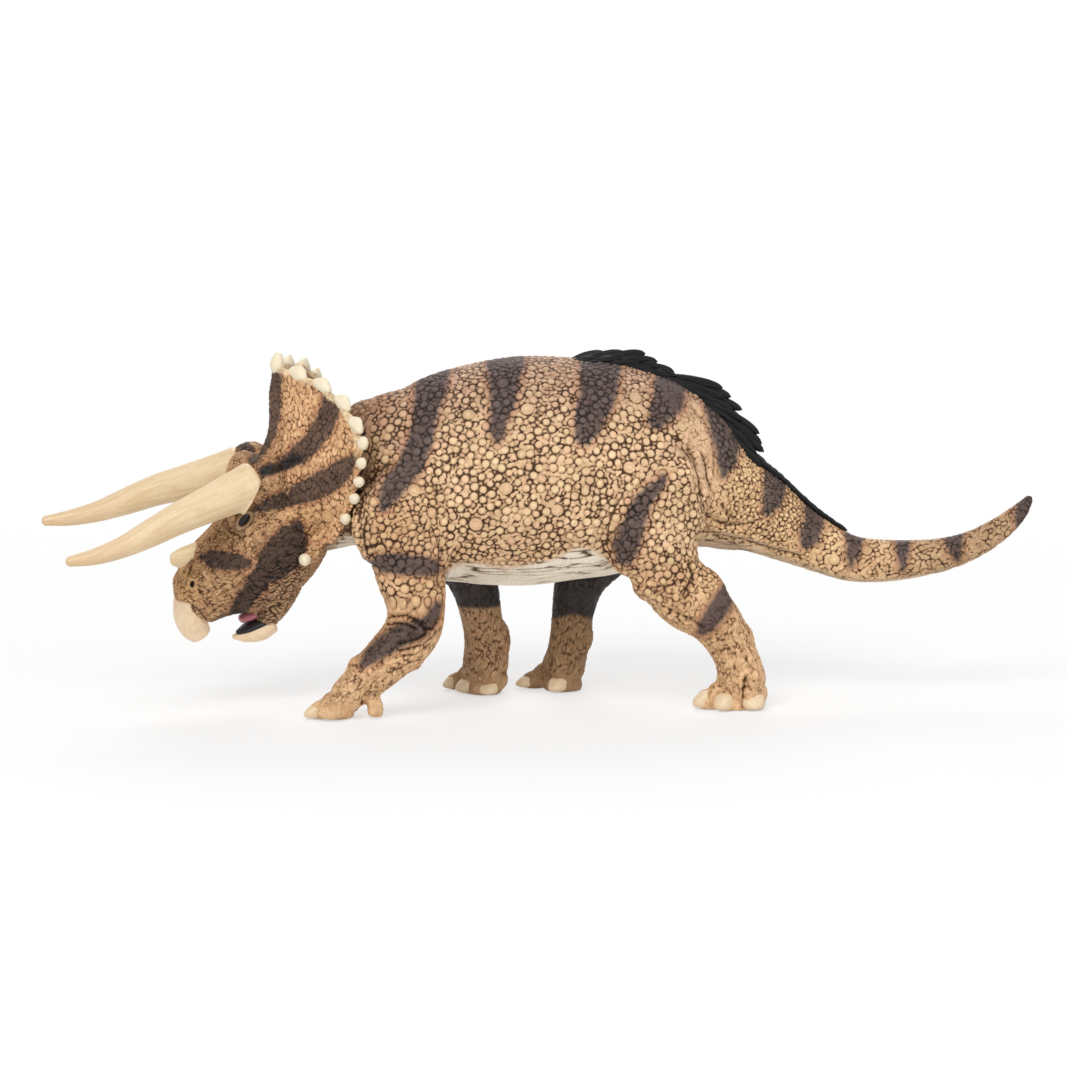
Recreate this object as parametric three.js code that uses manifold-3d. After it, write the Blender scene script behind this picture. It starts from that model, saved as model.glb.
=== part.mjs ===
// Toy figure of a horned dinosaur walking with its head lowered, as glued mouldings.
// Millimetres, +Z up. The figure faces -X, its left side is -Y, and it stands on Z = 0.
import * as THREE from "three";
import { mergeVertices } from "three/addons/utils/BufferGeometryUtils.js";
import Module from "manifold-3d";

const wasm = await Module();
wasm.setup();

// Clearances and walls
const GLUE_GAP = 0.35; // between any two glued faces
const SHELL_WALL = 2.6; // wall of the hollow torso
const PEG_FLAT = 0.7; // share of a keyed peg's radius at which its flat is cut
const CHEST_CAP = 3; // how far the chest bulges past its first section
const TAIL_CAP = 1.2; // rounding of the tail tip

// Trunk sections from chest to tail tip, square to the spine.
// Each is [x, z of the middle, half height, half width].
const TRUNK_SECTIONS = [
  [-42, 56.3, 20, 13],
  [-37, 56.3, 22.2, 16.6],
  [-29, 56.2, 24.4, 19.8],
  [-17, 57.5, 27.2, 22.2],
  [-3, 58.6, 28.7, 23.5],
  [10, 59.1, 27.8, 23],
  [21, 58.9, 26.6, 21.3],
  [30, 58, 24, 19],
  [37.5, 55.9, 20.1, 16.2],
  [43.5, 53.2, 16, 13.4],
  [49.4, 50.3, 12.7, 10.8],
  [56.6, 47.4, 10.6, 9],
  [64, 43.1, 8.4, 7.4],
  [72.3, 38.8, 6.8, 6.2],
  [80, 35.6, 5.9, 5.2],
  [88, 34.8, 5.5, 4.6],
  [96, 35.1, 4.9, 4.1],
  [104, 36.2, 4.3, 3.6],
  [111.5, 38.6, 3.7, 3.1],
  [118, 42.3, 3.2, 2.6],
  [123, 46.5, 2.4, 1.9],
  [125.8, 50, 1.3, 1],
];
const TRUNK_PINCH = 0.13; // how much narrower the back is than the belly
const TAIL_SEAM_SECTION = 9; // the tail is a moulding of its own from this section on
const CAVITY_SECTIONS = [1, 8]; // the hollow runs between these two sections

// Locating pins between the torso shells: [x, z] of each
const PIN_PLACES = [[-22, 71], [12, 74], [-14, 42], [16, 43]];
const PIN_RADIUS = 1.4;
const PIN_LENGTH = 4;
const PIN_BOSS_RADIUS = 3.2;

// Neck sections: [x, z, half height, half width]
const NECK_SECTIONS = [
  [-60, 50.5, 12.5, 10],
  [-54, 52.6, 14, 11],
  [-48, 55, 14.8, 11.6],
  [-42, 57.8, 15.4, 12],
  [-36, 60, 15, 12],
];
const NECK_CAP = 1;
const NECK_PEG_RADIUS = 5;
const NECK_PEG_START = 0.5; // share of the neck's length at which its chest peg starts
const NECK_PEG_LENGTH = 13;
const TAIL_PEG_RADIUS = 5;
const TAIL_PEG_LENGTH = 9;
const TAIL_PEG_ROOT = 4; // how deep the peg sits in the tail itself

// Head: pivot of its own frame in the figure, and how it is turned and tilted there
const HEAD_PLACE = new THREE.Vector3(-53.6, 0, 53);
const HEAD_TURN = 10; // degrees, face towards its left
const HEAD_ROLL = 6.5; // degrees, right side up

// Skull sections in the head's frame, from the nape to the snout:
// [x, z, half depth, half width]
const SKULL_SECTIONS = [
  [-1.6, 6.6, 6, 6.5],
  [-4.6, 1, 13, 10.6],
  [-9.3, -4, 14.5, 12.3],
  [-13, -11, 14.6, 12],
  [-17.6, -15.8, 13.6, 10.6],
  [-25, -20.2, 10.9, 8.2],
  [-30.6, -24.8, 7.8, 6.4],
];
const SKULL_PINCH = -0.12; // the snout is narrower along its top
const SNOUT_CAP = 4;
const NAPE_CAP = 2;
const EYE = { x: -20.4, y: 7.4, z: -3, radius: 2.7 };
const BROW = { x: -15.6, y: 6.4, z: 5.2, length: 5, width: 4.6, height: 5.6 };
const FOREHEAD = { x: -18.6, z: 5.6, length: 4.6, width: 6.4, height: 6.4 };
const NOSTRIL = { x: -32.7, y: 6.2, z: -20, radius: 1.1 };
const CHEEK_RIDGE = { x: -3.6, y: 10, z: -9.4, length: 3.4, width: 2.6, height: 5.4 };
const CHEEK_STUD = { x: -5.7, y: 11.7, z: -13.2, radius: 1.9 };

// Frill: half of its rim and of its root, from the midline down to the cheek: [x, y, z].
// A stud sits on each point of the rim but the last.
const FRILL_RIM = [
  [-11.8, 0, 34],
  [-7.6, 6.3, 33.2],
  [-2.6, 11.6, 31.2],
  [1.6, 16.4, 27.6],
  [4.2, 20.4, 22.9],
  [4.8, 23, 18.3],
  [4.4, 23.6, 13.4],
  [4.1, 22.6, 8.6],
  [3.5, 20.6, 4],
  [2.1, 17.4, -1.8],
  [-0.6, 13, -9],
];
const FRILL_ROOT = [
  [-19.4, 0, 10.6],
  [-15.4, 5.6, 7.6],
  [-11, 8.6, 2.8],
  [-8.6, 9.2, -1],
  [-6.8, 9, -4.6],
  [-5.2, 8, -9],
];
const FRILL_ROOT_THICKNESS = 3.6;
const FRILL_RIM_THICKNESS = 1.9;
const FRILL_SAG = 1.6; // how far the face of the sheet dips between root and rim
const FRILL_SCALLOP = 0.8; // dip of the rim between two studs
const SCALLOP_SHARPNESS = 6; // the higher, the closer the dip stays to the rim
const STUD_LENGTH = 2.1; // half size along the sheet
const STUD_WIDTH = 1.8; // half size the other ways
const STUD_OVERHANG = 0.3; // how far past the rim a stud's middle is
const MIDDLE_STUD_SCALE = 1.3;

// Horns, jaw, beaks and tongue in the head's frame. Sections run from root to tip, each
// [x, y, z, half height, half width]. The caps are how far the root and the tip bulge past them.
// A peg runs down the first span, and reaches its length back from the first section.
const HORN = {
  sections: [
    [-18.8, 8.6, 5, 6, 5.1],
    [-24, 10.2, 3.6, 5.1, 4.7],
    [-31.2, 12.6, 1.3, 4.4, 4.1],
    [-37.9, 14.8, -0.9, 3.9, 3.6],
    [-45.7, 16.8, -4.2, 3.3, 3.1],
    [-52.1, 18.2, -6.7, 2.6, 2.5],
    [-58.7, 19.4, -8.8, 2, 2],
    [-65.3, 20.4, -10, 1.3, 1.3],
  ],
  caps: [1, 0.9],
  peg: { radius: 2, length: 5 },
};
const NOSE_HORN = {
  sections: [
    [-31, 0, -15.8, 3.4, 2.5],
    [-34.6, 0, -15.2, 2.5, 2],
    [-37, 0, -14.6, 1.1, 1],
  ],
  caps: [0.5, 0.8],
  peg: { radius: 1.2, length: 1 },
};
const UPPER_BEAK = {
  sections: [
    [-32.2, 0, -25.6, 4, 4.4],
    [-32, 0, -29.4, 4.1, 4.2],
    [-30.6, 0, -32.8, 3.5, 3.3],
    [-28.9, 0, -35.3, 1.9, 1.8],
  ],
  caps: [1, 1.2],
  peg: { radius: 1.3, length: 1 },
};
const JAW = {
  sections: [
    [-6.5, 0, -17.5, 3.6, 6.5],
    [-8.6, 0, -21.8, 4.6, 7.2],
    [-11, 0, -26.8, 4.3, 6.2],
    [-13.4, 0, -30.8, 3.4, 4.8],
  ],
  caps: [2, 1],
};
const LOWER_BEAK = {
  sections: [
    [-11.6, 0, -32.2, 2.6, 4.4],
    [-14.6, 0, -33.9, 2.9, 4.1],
    [-17.9, 0, -35.2, 1.9, 2.9],
    [-20.7, 0, -35.6, 0.7, 1],
  ],
  caps: [1, 0.6],
  peg: { radius: 1.3, length: 1.5 },
};
const TONGUE = {
  sections: [
    [-12.4, 0, -27.4, 1.2, 2.6],
    [-16, 0, -29.8, 1.3, 2.6],
    [-18.8, 0, -30.9, 1.1, 1.9],
  ],
  caps: [1, 0.8],
};
const HEAD_PEG_RADIUS = 4;
const HEAD_PEG_ENDS = [[8, -1], [-9, -3]]; // [x, z] of its ends, in the neck and in the head

// Legs. Sections run from shoulder or hip to the ankle: [x, y, z, half fore-aft, half across].
// Each toe is [x, y, heading in degrees from straight ahead, towards the left].
const FRONT_LEFT = {
  sections: [
    [-31, -10.5, 64.5, 9, 6],
    [-32.2, -13, 56, 11, 8],
    [-32, -15, 46, 10.8, 8.6],
    [-31.6, -16.2, 36, 9, 7.6],
    [-30.3, -16.8, 27.5, 7.3, 6.7],
    [-31.6, -17, 20.8, 7, 6.2],
    [-37.8, -17, 14.2, 6.1, 5.5],
    [-43.6, -17, 8.6, 5.3, 5.4],
    [-47.2, -16.6, 4.4, 4.8, 6],
  ],
  toes: [[-51.6, -18.4, 10], [-52.2, -14.2, 0], [-50, -10.8, -18]],
  dew: [-41.6, -18.4, 30],
};
const FRONT_RIGHT = {
  sections: [
    [-30, 10.5, 64, 9, 6],
    [-28.4, 13.4, 54, 10.6, 8],
    [-23.4, 15, 44.5, 9.6, 8],
    [-17.4, 14.6, 35.6, 7.6, 7],
    [-13.8, 13.8, 28, 6.1, 6.2],
    [-12.2, 13.8, 21, 5.4, 5.6],
    [-11.4, 14.2, 14.5, 5, 5.2],
    [-10.8, 14.6, 8.6, 5.9, 6],
    [-12, 14.8, 4.4, 6.2, 6.8],
  ],
  toes: [[-17, 18.8, -4], [-15.2, 13.4, 10], [-9.8, 10.4, 50]],
  dew: null,
};
const HIND_LEFT = {
  sections: [
    [27, -9.5, 61, 12, 7],
    [29, -12, 50, 13, 9.4],
    [29.5, -13.6, 41, 11, 9],
    [31.5, -14, 34.4, 9.6, 8],
    [37.2, -14, 28.2, 8.2, 7],
    [43.2, -13.7, 23.4, 6.9, 6.2],
    [47.2, -13.4, 18, 6, 5.4],
    [49.8, -13, 12.6, 5.6, 5.3],
    [51, -13, 7.8, 6.3, 6],
    [50.2, -13, 4, 7.2, 6.6],
  ],
  toes: [[44.2, -9.6, -14], [44.8, -13.8, 10], [48.6, -15.6, 50], [54.4, -14.6, 78]],
  dew: null,
};
const HIND_RIGHT = {
  sections: [
    [27, 9.5, 60, 12, 7],
    [24.6, 13, 49, 12.4, 9.4],
    [19, 14.4, 38.4, 9.8, 8.4],
    [13.6, 13.6, 29.6, 6.9, 7],
    [11.7, 14, 22.2, 5.6, 5.9],
    [10.9, 15.2, 15, 5.2, 5.4],
    [10.2, 16.6, 9.4, 5.2, 5.8],
    [9.3, 17.6, 5.2, 6.4, 6.6],
  ],
  toes: [[2.6, 21.6, -8], [3.8, 17.6, 4], [7.4, 13.2, 50]],
  dew: null,
};
// Half sizes of the foot's pads, and how high above the ground their middles are
const SOLE = { height: 4, lift: 1.3 };
const TOE_PAD = { length: 4.6, width: 2.7, height: 3.4, lift: 2 };
const HOOF = { length: 3.4, width: 2.3, height: 2.6, lift: 1.7, reach: 3.2 };
const DEW_TOE = { length: 2.6, width: 1.7, height: 5, lift: 2.5 };
const LEG_PEG_RADIUS = 4.4;
const LEG_PEG_LENGTH = 9;
const LEG_PEG_SECTION = 1; // the peg sits at this section of the leg
const LEG_PEG_DEPTH = 0.75; // and starts at this share of its half width, towards its outside
const LEG_CAPS = [3, 2.6]; // how far a leg bulges past its first and its last section

// Quill crest along the hips and the tail root, by the x of the spine's sections
const CREST_START_X = 13;
const QUILL_END_X = 41;
const CREST_END_X = 74;
const QUILL_COUNT = 15;
const QUILL_LEAN = [7, 10]; // degrees off the back, from the first quill to the last
const QUILL_LENGTH = 13;
const QUILL_BASE_RADIUS = 1.2;
const QUILL_TIP_RADIUS = 0.7;
const CREST_KEEL_HALF = 0.9; // half thickness of the keel that sits between the shells
const CREST_KEEL_DEPTH = 1.2;
const CREST_RIDGE_HEIGHT = 1.2;

// Mesh fineness
const CAP_RINGS = 3;
const TRUNK_SIDES = 20;
const CAVITY_SIDES = 12;
const NECK_SIDES = 14;
const LEG_SIDES = 12;
const SMALL_SIDES = 10;
const PEG_SIDES = 10;
const BALL_SIDES = 8;
const BALL_RINGS = 5;
const STUD_SIDES = 6;
const STUD_RINGS = 4;
const FRILL_ROWS = 4;
const KEEL_STEPS = 14;
const QUILL_SIDES = 5;

const SLOPE_STEP = 1e-3; // share of a curve over which its slope is taken
const FAR = 400; // longer than the figure, for cutting blocks
const toRadians = THREE.MathUtils.degToRad;

// Solids and booleans

/** A closed geometry as a solid, moved by a matrix if one is given. */
function solidOf(geometry, matrix) {
  const bare = geometry.clone();
  bare.deleteAttribute("normal");
  bare.deleteAttribute("uv");
  if (matrix) bare.applyMatrix4(matrix);
  const merged = mergeVertices(bare);
  return new wasm.Manifold(
    new wasm.Mesh({
      numProp: 3,
      vertProperties: new Float32Array(merged.attributes.position.array),
      triVerts: new Uint32Array(merged.index.array),
    }),
  );
}

/** A solid back as a geometry that a mesh can show. */
function geometryOf(solid) {
  const { vertProperties, triVerts } = solid.getMesh();
  const geometry = new THREE.BufferGeometry();
  geometry.setAttribute("position", new THREE.BufferAttribute(vertProperties, 3));
  geometry.setIndex(new THREE.BufferAttribute(triVerts, 1));
  geometry.computeVertexNormals();
  return geometry;
}

const joined = (solids) => solids.reduce((all, next) => all.add(next));

/** The largest body that a cut leaves, without its slivers. */
function mainBody(solid) {
  return solid.decompose().reduce((a, b) => (b.volume() > a.volume() ? b : a));
}

/** An ellipsoid at a place, turned about Z. */
function ellipsoid([x, y, z], [length, width, height], heading = 0) {
  const ball = new THREE.SphereGeometry(1, BALL_SIDES, BALL_RINGS);
  ball.rotateX(Math.PI / 2);
  ball.scale(length, width, height);
  ball.rotateZ(toRadians(heading));
  ball.translate(x, y, z);
  return solidOf(ball);
}

/** Everything on the far side of a plane, as a block. */
function beyond(point, direction) {
  const block = new THREE.BoxGeometry(FAR, FAR, FAR);
  block.translate(FAR / 2, 0, 0);
  const turn = new THREE.Quaternion().setFromUnitVectors(new THREE.Vector3(1, 0, 0), direction);
  block.applyQuaternion(turn);
  block.translate(point.x, point.y, point.z);
  return solidOf(block);
}

/** A peg from one point to another, with a flat on it if flat is below 1, and its hole. */
function peg(from, to, radius, flat = 1) {
  const axis = to.clone().sub(from);
  const shaft = (r, length) => {
    const outline = new THREE.Shape();
    const half = Math.acos(flat);
    outline.absarc(0, 0, r, half, 2 * Math.PI - half, false);
    const geometry = new THREE.ExtrudeGeometry(outline, {
      depth: length,
      bevelEnabled: false,
      curveSegments: PEG_SIDES,
    });
    const turn = new THREE.Quaternion().setFromUnitVectors(
      new THREE.Vector3(0, 0, 1),
      axis.clone().normalize(),
    );
    geometry.applyQuaternion(turn);
    geometry.translate(from.x, from.y, from.z);
    return solidOf(geometry);
  };
  return {
    solid: shaft(radius, axis.length()),
    hole: shaft(radius + GLUE_GAP, axis.length() + GLUE_GAP),
  };
}

// Lofts

/** A curve through sections that carries their sizes along. */
class Spine {
  constructor(sections, pinch = 0) {
    const curve = (pick) => new THREE.CatmullRomCurve3(sections.map(pick), false, "catmullrom");
    this.path = curve(([x, y, z]) => new THREE.Vector3(x, y, z));
    this.sizes = curve(([, , , up, side]) => new THREE.Vector3(up, side, 0));
    this.spans = sections.length - 1;
    this.pinch = pinch;
  }

  /** Middle, directions and sizes of the section at t, from 0 to 1. */
  frame(t) {
    const along = this.path.getTangent(t);
    const side = new THREE.Vector3(0, 1, 0).addScaledVector(along, -along.y).normalize();
    const up = new THREE.Vector3().crossVectors(along, side);
    const size = this.sizes.getPoint(t);
    return { middle: this.path.getPoint(t), along, side, up, halfUp: size.x, halfSide: size.y };
  }

  /** The point on top of the section at t. */
  top(t) {
    const { middle, up, halfUp } = this.frame(t);
    return middle.addScaledVector(up, halfUp);
  }

  /** Where the back's ridge is at t, with its directions along, sideways and off the skin. */
  ridge(t) {
    const along = this.top(t + SLOPE_STEP).sub(this.top(t - SLOPE_STEP)).normalize();
    const { side } = this.frame(t);
    return { point: this.top(t), along, side, off: new THREE.Vector3().crossVectors(along, side) };
  }

  /** The t at which the path reaches an x, on a path whose x grows. */
  atX(x) {
    let [low, high] = [0, 1];
    for (let i = 0; i < 30; i += 1) {
      const t = (low + high) / 2;
      if (this.path.getPoint(t).x < x) low = t;
      else high = t;
    }
    return low;
  }
}

/** Closed geometry through rings of points, each ring running from side to up, with a pole at each end. */
function closeRings(rings, startPole, endPole) {
  const sides = rings[0].length;
  const points = [...rings.flat(), startPole, endPole];
  const index = [];
  rings.forEach((ring, i) => {
    for (let j = 0; j < sides; j += 1) {
      const next = (j + 1) % sides;
      const [a, b] = [i * sides + j, i * sides + next];
      if (i === 0) index.push(points.length - 2, b, a);
      if (i === rings.length - 1) index.push(points.length - 1, a, b);
      else index.push(a, b, a + sides, b, b + sides, a + sides);
    }
  });
  const geometry = new THREE.BufferGeometry().setFromPoints(points);
  geometry.setIndex(index);
  return geometry;
}

/**
 * A lofted solid round a spine, with rounded ends and a ring at each section.
 * finer is how many spans from the start get a ring more, and grow makes it larger all round.
 */
function loft(spine, { sides, finer = 0, startCap, endCap, grow = 0 }) {
  const ring = (frame, scale, shift) =>
    Array.from({ length: sides }, (_, j) => {
      const angle = (2 * Math.PI * j) / sides;
      const up = (frame.halfUp + grow) * scale * Math.sin(angle);
      const narrowing = 1 - spine.pinch * Math.sin(angle);
      const side = (frame.halfSide + grow) * scale * Math.cos(angle) * narrowing;
      return frame.middle
        .clone()
        .addScaledVector(frame.along, shift)
        .addScaledVector(frame.up, up)
        .addScaledVector(frame.side, side);
    });
  const first = spine.frame(0);
  const last = spine.frame(1);
  const rings = [];
  for (let k = CAP_RINGS - 1; k > 0; k -= 1) {
    const bend = (Math.PI / 2) * (k / CAP_RINGS);
    rings.push(ring(first, Math.cos(bend), -(startCap + grow) * Math.sin(bend)));
  }
  for (let i = 0; i <= spine.spans; i += 1) {
    rings.push(ring(spine.frame(i / spine.spans), 1, 0));
    if (i < finer) rings.push(ring(spine.frame((i + 0.5) / spine.spans), 1, 0));
  }
  for (let k = 1; k < CAP_RINGS; k += 1) {
    const bend = (Math.PI / 2) * (k / CAP_RINGS);
    rings.push(ring(last, Math.cos(bend), (endCap + grow) * Math.sin(bend)));
  }
  const startPole = first.middle.clone().addScaledVector(first.along, -startCap - grow);
  const endPole = last.middle.clone().addScaledVector(last.along, endCap + grow);
  return solidOf(closeRings(rings, startPole, endPole));
}

const midline = (sections) => sections.map(([x, z, up, side]) => [x, 0, z, up, side]);

// Trunk: torso shells and tail

const trunkSpine = new Spine(midline(TRUNK_SECTIONS), TRUNK_PINCH);
const trunkForm = (grow) =>
  loft(trunkSpine, {
    sides: TRUNK_SIDES,
    finer: TAIL_SEAM_SECTION,
    startCap: CHEST_CAP,
    endCap: TAIL_CAP,
    grow,
  });
const trunk = trunkForm(0);
const trunkClear = trunkForm(GLUE_GAP);
const tailSeam = trunkSpine.frame(TAIL_SEAM_SECTION / trunkSpine.spans);

/** The point a distance along the trunk from the tail seam, straight on. */
const pastSeam = (distance) => tailSeam.middle.clone().addScaledVector(tailSeam.along, distance);

function hollowTorso() {
  const backwards = tailSeam.along;
  const [from, to] = CAVITY_SECTIONS;
  const cavitySections = TRUNK_SECTIONS.slice(from, to + 1).map(([x, z, up, side]) => [
    x, z, up - SHELL_WALL, side - SHELL_WALL,
  ]);
  const cavity = loft(new Spine(midline(cavitySections), TRUNK_PINCH), {
    sides: CAVITY_SIDES,
    startCap: SHELL_WALL / 2,
    endCap: SHELL_WALL / 2,
  });
  return trunk.subtract(beyond(pastSeam(-GLUE_GAP / 2), backwards)).subtract(cavity);
}

/** A post of the shells along Y, inside the torso's skin. */
function post(x, z, radius, fromY, toY) {
  return peg(new THREE.Vector3(x, fromY, z), new THREE.Vector3(x, toY, z), radius).solid;
}

function makeTorsoShells(holes) {
  const core = hollowTorso();
  const inside = trunkForm(-SHELL_WALL / 2);
  const bosses = joined(
    PIN_PLACES.map(([x, z]) => post(x, z, PIN_BOSS_RADIUS, -FAR, FAR)),
  ).intersect(inside);
  const filled = core.add(bosses).subtract(joined(holes));
  const halfGap = GLUE_GAP / 2;
  const pins = PIN_PLACES.map(([x, z]) => post(x, z, PIN_RADIUS, -PIN_LENGTH, PIN_LENGTH));
  const sockets = PIN_PLACES.map(([x, z]) =>
    post(x, z, PIN_RADIUS + GLUE_GAP, -GLUE_GAP, PIN_LENGTH + GLUE_GAP),
  );
  const left = filled.subtract(
    beyond(new THREE.Vector3(0, -halfGap, 0), new THREE.Vector3(0, 1, 0)),
  );
  const right = filled.subtract(
    beyond(new THREE.Vector3(0, halfGap, 0), new THREE.Vector3(0, -1, 0)),
  );
  return {
    left: mainBody(left).add(joined(pins)),
    right: mainBody(right).subtract(joined(sockets)),
  };
}

// Quill crest

/** The keel of the crest as a ribbon along the trunk's top. */
function crestKeel(halfThickness, depth, height) {
  const from = trunkSpine.atX(CREST_START_X);
  const to = trunkSpine.atX(CREST_END_X);
  const rings = Array.from({ length: KEEL_STEPS + 1 }, (_, i) => {
    const t = from + ((to - from) * i) / KEEL_STEPS;
    const { point, side, off } = trunkSpine.ridge(t);
    const corner = (across, above) =>
      point.clone().addScaledVector(side, across).addScaledVector(off, above);
    return [
      corner(halfThickness, -depth),
      corner(halfThickness, height),
      corner(-halfThickness, height),
      corner(-halfThickness, -depth),
    ];
  });
  const centre = (ring) =>
    ring.reduce((sum, p) => sum.add(p), new THREE.Vector3()).divideScalar(ring.length);
  return solidOf(closeRings(rings, centre(rings[0]), centre(rings[KEEL_STEPS])));
}

/** One quill, leaning back from the crest's keel. share runs from 0 at the front to 1. */
function quill(share) {
  const x = CREST_START_X + (QUILL_END_X - CREST_START_X) * share;
  const t = trunkSpine.atX(x);
  const { point, along, off } = trunkSpine.ridge(t);
  const lean = toRadians(THREE.MathUtils.lerp(...QUILL_LEAN, share));
  const direction = along.multiplyScalar(Math.cos(lean)).addScaledVector(off, Math.sin(lean));
  const shape = new THREE.CylinderGeometry(
    QUILL_TIP_RADIUS,
    QUILL_BASE_RADIUS,
    QUILL_LENGTH,
    QUILL_SIDES,
  );
  shape.translate(0, QUILL_LENGTH / 2, 0);
  shape.applyQuaternion(
    new THREE.Quaternion().setFromUnitVectors(new THREE.Vector3(0, 1, 0), direction),
  );
  const root = point.addScaledVector(off, CREST_RIDGE_HEIGHT / 2);
  shape.translate(root.x, root.y, root.z);
  return solidOf(shape);
}

function makeCrest() {
  const keel = crestKeel(CREST_KEEL_HALF, CREST_KEEL_DEPTH, CREST_RIDGE_HEIGHT);
  const quills = Array.from({ length: QUILL_COUNT }, (_, i) => quill(i / (QUILL_COUNT - 1)));
  const above = joined(quills).subtract(trunkClear);
  return mainBody(keel.add(above));
}

// Legs

function toe([x, y, heading]) {
  const angle = toRadians(heading);
  const forward = new THREE.Vector3(-Math.cos(angle), -Math.sin(angle), 0);
  const half = ({ length, width, height }) => [length, width, height];
  const pad = ellipsoid([x, y, TOE_PAD.lift], half(TOE_PAD), heading);
  const tip = new THREE.Vector3(x, y, HOOF.lift).addScaledVector(forward, HOOF.reach);
  return pad.add(ellipsoid(tip.toArray(), half(HOOF), heading));
}

function makeLeg({ sections, toes, dew }, pegSide) {
  const spine = new Spine(sections);
  const [startCap, endCap] = LEG_CAPS;
  const shaft = loft(spine, { sides: LEG_SIDES, startCap, endCap });
  const [footX, footY, , footLength, footWidth] = sections.at(-1);
  const foot = [
    ellipsoid([footX, footY, SOLE.lift], [footLength, footWidth, SOLE.height]),
    ...toes.map(toe),
  ];
  if (dew) {
    const [x, y, heading] = dew;
    const { length, width, height, lift } = DEW_TOE;
    foot.push(ellipsoid([x, y, lift], [length, width, height], heading));
  }
  const ground = beyond(new THREE.Vector3(0, 0, 0), new THREE.Vector3(0, 0, -1));
  const limb = joined([shaft, ...foot]).subtract(ground).subtract(trunkClear);
  const { middle, halfSide } = spine.frame(LEG_PEG_SECTION / spine.spans);
  const outside = middle.clone();
  outside.y += pegSide * halfSide * LEG_PEG_DEPTH;
  const inside = outside.clone();
  inside.y -= pegSide * LEG_PEG_LENGTH;
  const key = peg(outside, inside, LEG_PEG_RADIUS, PEG_FLAT);
  return { solid: mainBody(limb).add(key.solid), hole: key.hole };
}

const LEFT = -1;
const RIGHT = 1;
const legs = {
  front_left_leg: makeLeg(FRONT_LEFT, LEFT),
  front_right_leg: makeLeg(FRONT_RIGHT, RIGHT),
  hind_left_leg: makeLeg(HIND_LEFT, LEFT),
  hind_right_leg: makeLeg(HIND_RIGHT, RIGHT),
};

// Head pieces, all in the head's own frame

const headMatrix = new THREE.Matrix4()
  .makeTranslation(HEAD_PLACE)
  .multiply(new THREE.Matrix4().makeRotationZ(toRadians(HEAD_TURN)))
  .multiply(new THREE.Matrix4().makeRotationX(toRadians(HEAD_ROLL)));
const placedHead = (solid) => solidOf(geometryOf(solid), headMatrix);
const bothSides = (make) => [make(LEFT), make(RIGHT)];
const skullSpine = new Spine(midline(SKULL_SECTIONS), SKULL_PINCH);

/** Skull with forehead, brows, eye bulges, cheek ridges and cheek studs. */
function skullForm(grow) {
  const swelling = ({ x, y = 0, z, length, width, height }, side) =>
    ellipsoid([x, side * y, z], [length + grow, width + grow, height + grow]);
  const ball = ({ x, y, z, radius }, side) =>
    ellipsoid([x, side * y, z], Array(3).fill(radius + grow));
  const core = loft(skullSpine, {
    sides: LEG_SIDES,
    finer: skullSpine.spans,
    startCap: NAPE_CAP,
    endCap: SNOUT_CAP,
    grow,
  });
  return joined([
    core,
    swelling(FOREHEAD, RIGHT),
    ...bothSides((side) => swelling(BROW, side)),
    ...bothSides((side) => swelling(CHEEK_RIDGE, side)),
    ...bothSides((side) => ball(EYE, side)),
    ...bothSides((side) => ball(CHEEK_STUD, side)),
  ]);
}

/** Mirrors half an outline across the midline, into one curve from left to right. */
function mirroredCurve(half) {
  const left = half.slice(1).reverse().map(([x, y, z]) => new THREE.Vector3(x, -y, z));
  const right = half.map(([x, y, z]) => new THREE.Vector3(x, y, z));
  return new THREE.CatmullRomCurve3([...left, ...right], false, "catmullrom");
}

const frillRim = mirroredCurve(FRILL_RIM);
const frillRoot = mirroredCurve(FRILL_ROOT);
const STUDS_EACH_SIDE = FRILL_RIM.length - 2; // beside the middle one
const STUD_SPACING = 0.5 / (FRILL_RIM.length - 1); // share of the rim from stud to stud

/** A point of the frill's face: across from 0 on its left to 1, out from 0 at the root to 1. */
function frillPoint(across, out) {
  const root = frillRoot.getPoint(across);
  const rim = frillRim.getPoint(across);
  const betweenStuds = Math.sin((Math.PI * across) / STUD_SPACING) ** 2;
  const dip = FRILL_SCALLOP * betweenStuds * out ** SCALLOP_SHARPNESS;
  const reach = 1 - dip / rim.distanceTo(root);
  const point = root.lerp(rim, out * reach);
  point.x += FRILL_SAG * Math.sin(Math.PI * out);
  return point;
}

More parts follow.
